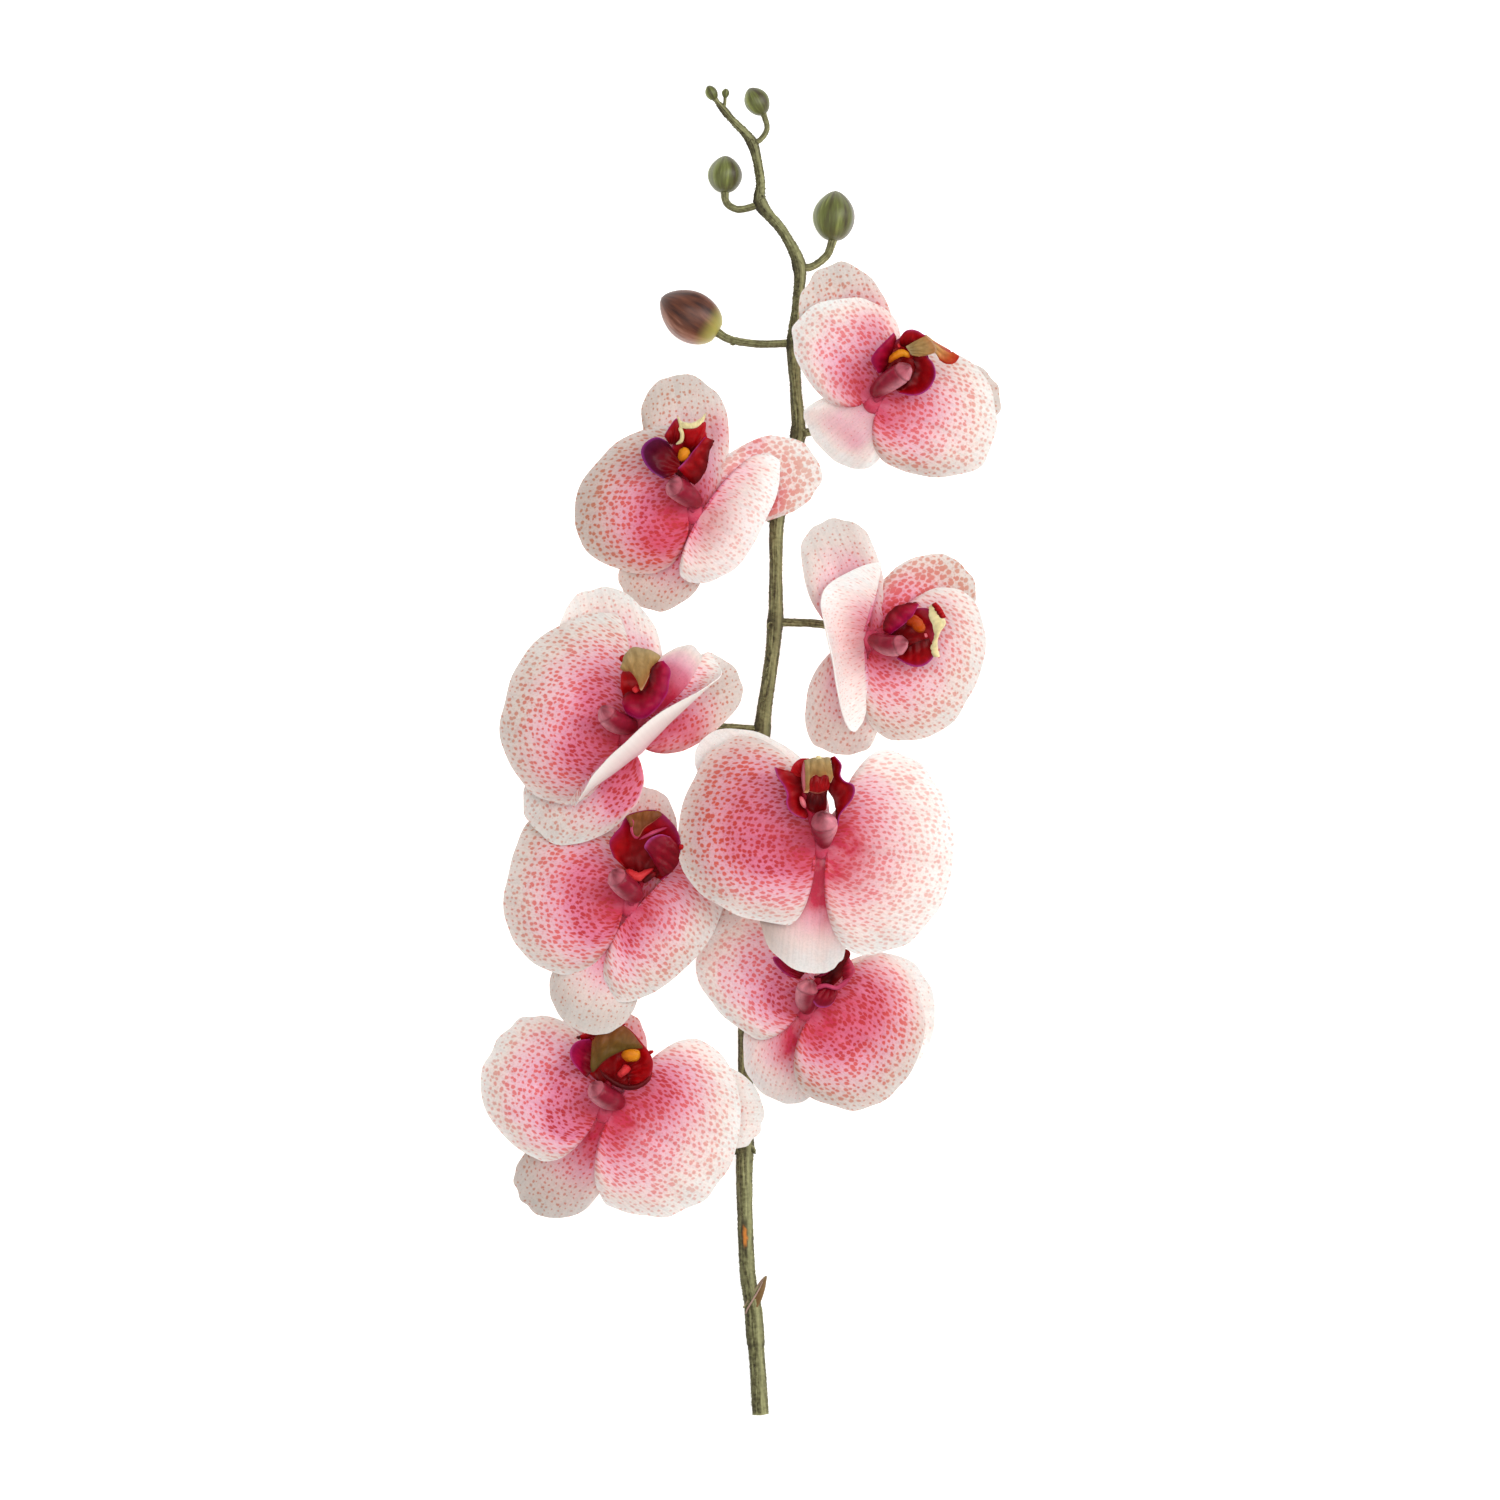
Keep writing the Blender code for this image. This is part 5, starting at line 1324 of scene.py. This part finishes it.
def addStalks(bm):
    form = stemForm["stalk"]
    for name, points in stalks.items():
        x, y, z = blooms[name]["centre"]
        top = z - stemForm["hubHalf"] - stemForm["seatGap"]
        addStalk(bm, points + ((x, y, top - form["neck"]), (x, y, top)), form["radius"], form, 0.25, 0.0)
    for spec in buds.values():
        foot = Vector(spec["foot"])
        end = foot + (Vector(spec["tip"]) - foot).normalized() * stemForm["budSink"]
        addStalk(bm, spec["stalk"] + (tuple(end),), spec["stalkRadius"], stemForm["budStalk"], 0.0, 0.1)


def bractPaint(spec, turn, outShare, distance, spot):
    # dark to its right, with a pink margin to its left
    return (0.85 * smooth(0.4, -0.4, turn), 0.2 * smooth(0.2, -0.6, turn),
            0.8 * smooth(0.6, 0.95, outShare) * smooth(-0.3, 0.3, turn), 0.1)


def scalePaint(spec, turn, outShare, distance, spot):
    return (0.6 * smooth(1.0, 0.6, outShare), 0.0, 0.0, 0.5 * smooth(0.6, 1.0, outShare))


def addLeaves(bm):
    # the sheath leaf and the small scales
    leaves = bmesh.new()
    spec = {**bract["blade"], "point": bract["point"]}
    addSheet(leaves, spec, Vector(bract["place"]), facing(spec["aim"]), bract["sheet"], bractPaint)
    setBack = Vector((scaleForm["setBack"], 0, 0))
    for i, (foot, aim, reach, half) in enumerate(scales):
        side = (half, reach * scaleForm["widest"])
        turned = facing(aim) @ Matrix.Rotation(-math.radians(scaleForm["rise"]), 3, "Y")
        addSheet(leaves, blade(aim, reach, side, side), Vector(foot) - facing(aim) @ setBack, turned,
                 {**scaleForm["sheet"], "seed": i * 1.3}, scalePaint)
    addWalls(bm, leaves, stemForm["leafThickness"], (stemSurface,), 0)


def addHairs(bm, places, widths):
    # short stiff hairs, drawn thicker than life so that they show, made in small batches for speed
    random.seed(7)
    for _ in range(math.ceil(stemForm["hairs"] / stemForm["tuft"])):
        tuft = bmesh.new()
        tint, vein = pointLayers(tuft)
        for _ in range(stemForm["tuft"]):
            i = random.randrange(4, len(places) - 4)
            ahead = (places[i + 1] - places[i - 1]).normalized()
            angle = random.uniform(-2.0, 2.0)
            aside = Vector((0, 0, 1)).cross(ahead).normalized()
            out = ahead.cross(aside) * math.cos(angle) + aside * math.sin(angle)
            length = stemForm["hairLength"] * random.uniform(0.5, 1.2)
            lean = (out + ahead * random.uniform(-0.2, 0.6)).normalized()
            place = places[i] + out * (widths[i] - 0.1) + lean * length / 2
            turned = lean.to_track_quat("Z", "Y").to_matrix().to_4x4()
            hair = bmesh.ops.create_cone(tuft, segments=3, radius1=stemForm["hairWidth"] * mm, radius2=0.0,
                                         depth=length * mm, cap_ends=True,
                                         matrix=Matrix.Translation(place * mm) @ turned)
            light = random.uniform(0.0, 0.8)
            for vert in hair["verts"]:
                vert[tint] = (max(0.0, 0.5 - light), 0.0, 0.0, light * 0.7)
                vert[vein] = Vector((angle * 3, i * 0.4, 0.0))
        mesh = meshFrom("tuft", tuft)
        bm.from_mesh(mesh)
        bpy.data.meshes.remove(mesh)


def makeStem():
    bm = bmesh.new()
    places = smoothLine([p[:3] for p in spike], stemForm["steps"])
    widths = smoothValues([p[3] for p in spike], stemForm["steps"])
    addAxis(bm, places, widths)
    addStalks(bm)
    # the sheath's pale free edge crosses the stem
    addRoll(bm, smoothLine(bract["edge"], 20),
            lambda angle, along, place: bract["edgeRadius"] * (1 - along ** 4), 10,
            lambda angle, along, place: (0.0, 0.0, 0.85, 0.3))
    addHairs(bm, places, widths)
    addLeaves(bm)
    setOut("stem_fine", bm, (stemSurface,), "stem", "stem_green")


# Buds: ribbed, drawn to a blunt point, with a paler or darker foot

budForm = {"rings": 48, "sides": 60, "ribs": 7, "ribDepth": 0.02, "lobeDepth": 0.035, "blunt": (0.44, 0.6)}


def makeBud(name, spec):
    foot = Vector(spec["foot"])
    axis = Vector(spec["tip"]) - foot
    warp = math.log(0.5) / math.log(spec["widest"])
    line = [foot + axis * (k / budForm["rings"]) for k in range(budForm["rings"] + 1)]
    own = spec["radius"]  # each bud's ribs start at another angle

    def ridge(angle, along):
        return math.cos(budForm["ribs"] * angle + 0.6 + 0.8 * math.sin(2 * angle + own) + 0.5 * along)

    def radiusAt(angle, along, place):
        swell = math.sin(math.pi * min(1.0, along ** warp)) ** mixed(*budForm["blunt"], along)
        ribs = budForm["ribDepth"] * ridge(angle, along) + budForm["lobeDepth"] * math.cos(3 * angle + own)
        return spec["radius"] * swell * (1 + ribs * math.sin(math.pi * along))

    def paint(angle, along, place):
        # painted light and shade: the term in the sine of the angle makes one side lighter and the other
        # darker
        rib = 0.42 + 0.09 * ridge(angle, along) + 0.2 * math.sin(angle) + 0.08 * math.cos(3 * angle + own)
        return (rib, 0.4 * smooth(0.75, 1.0, along), 0.8 * smooth(0.3, 0.02, along), 0.0)

    bm = bmesh.new()
    addRoll(bm, line, radiusAt, budForm["sides"], paint)
    surface, slot = (budBrown, "bud_brown") if name == "bud_brown" else (budGreen, "bud_green")
    setOut(name + "_fine", bm, (surface,), name, slot)


makeStem()
for name, spec in buds.items():
    makeBud(name, spec)
print("stem and buds made")
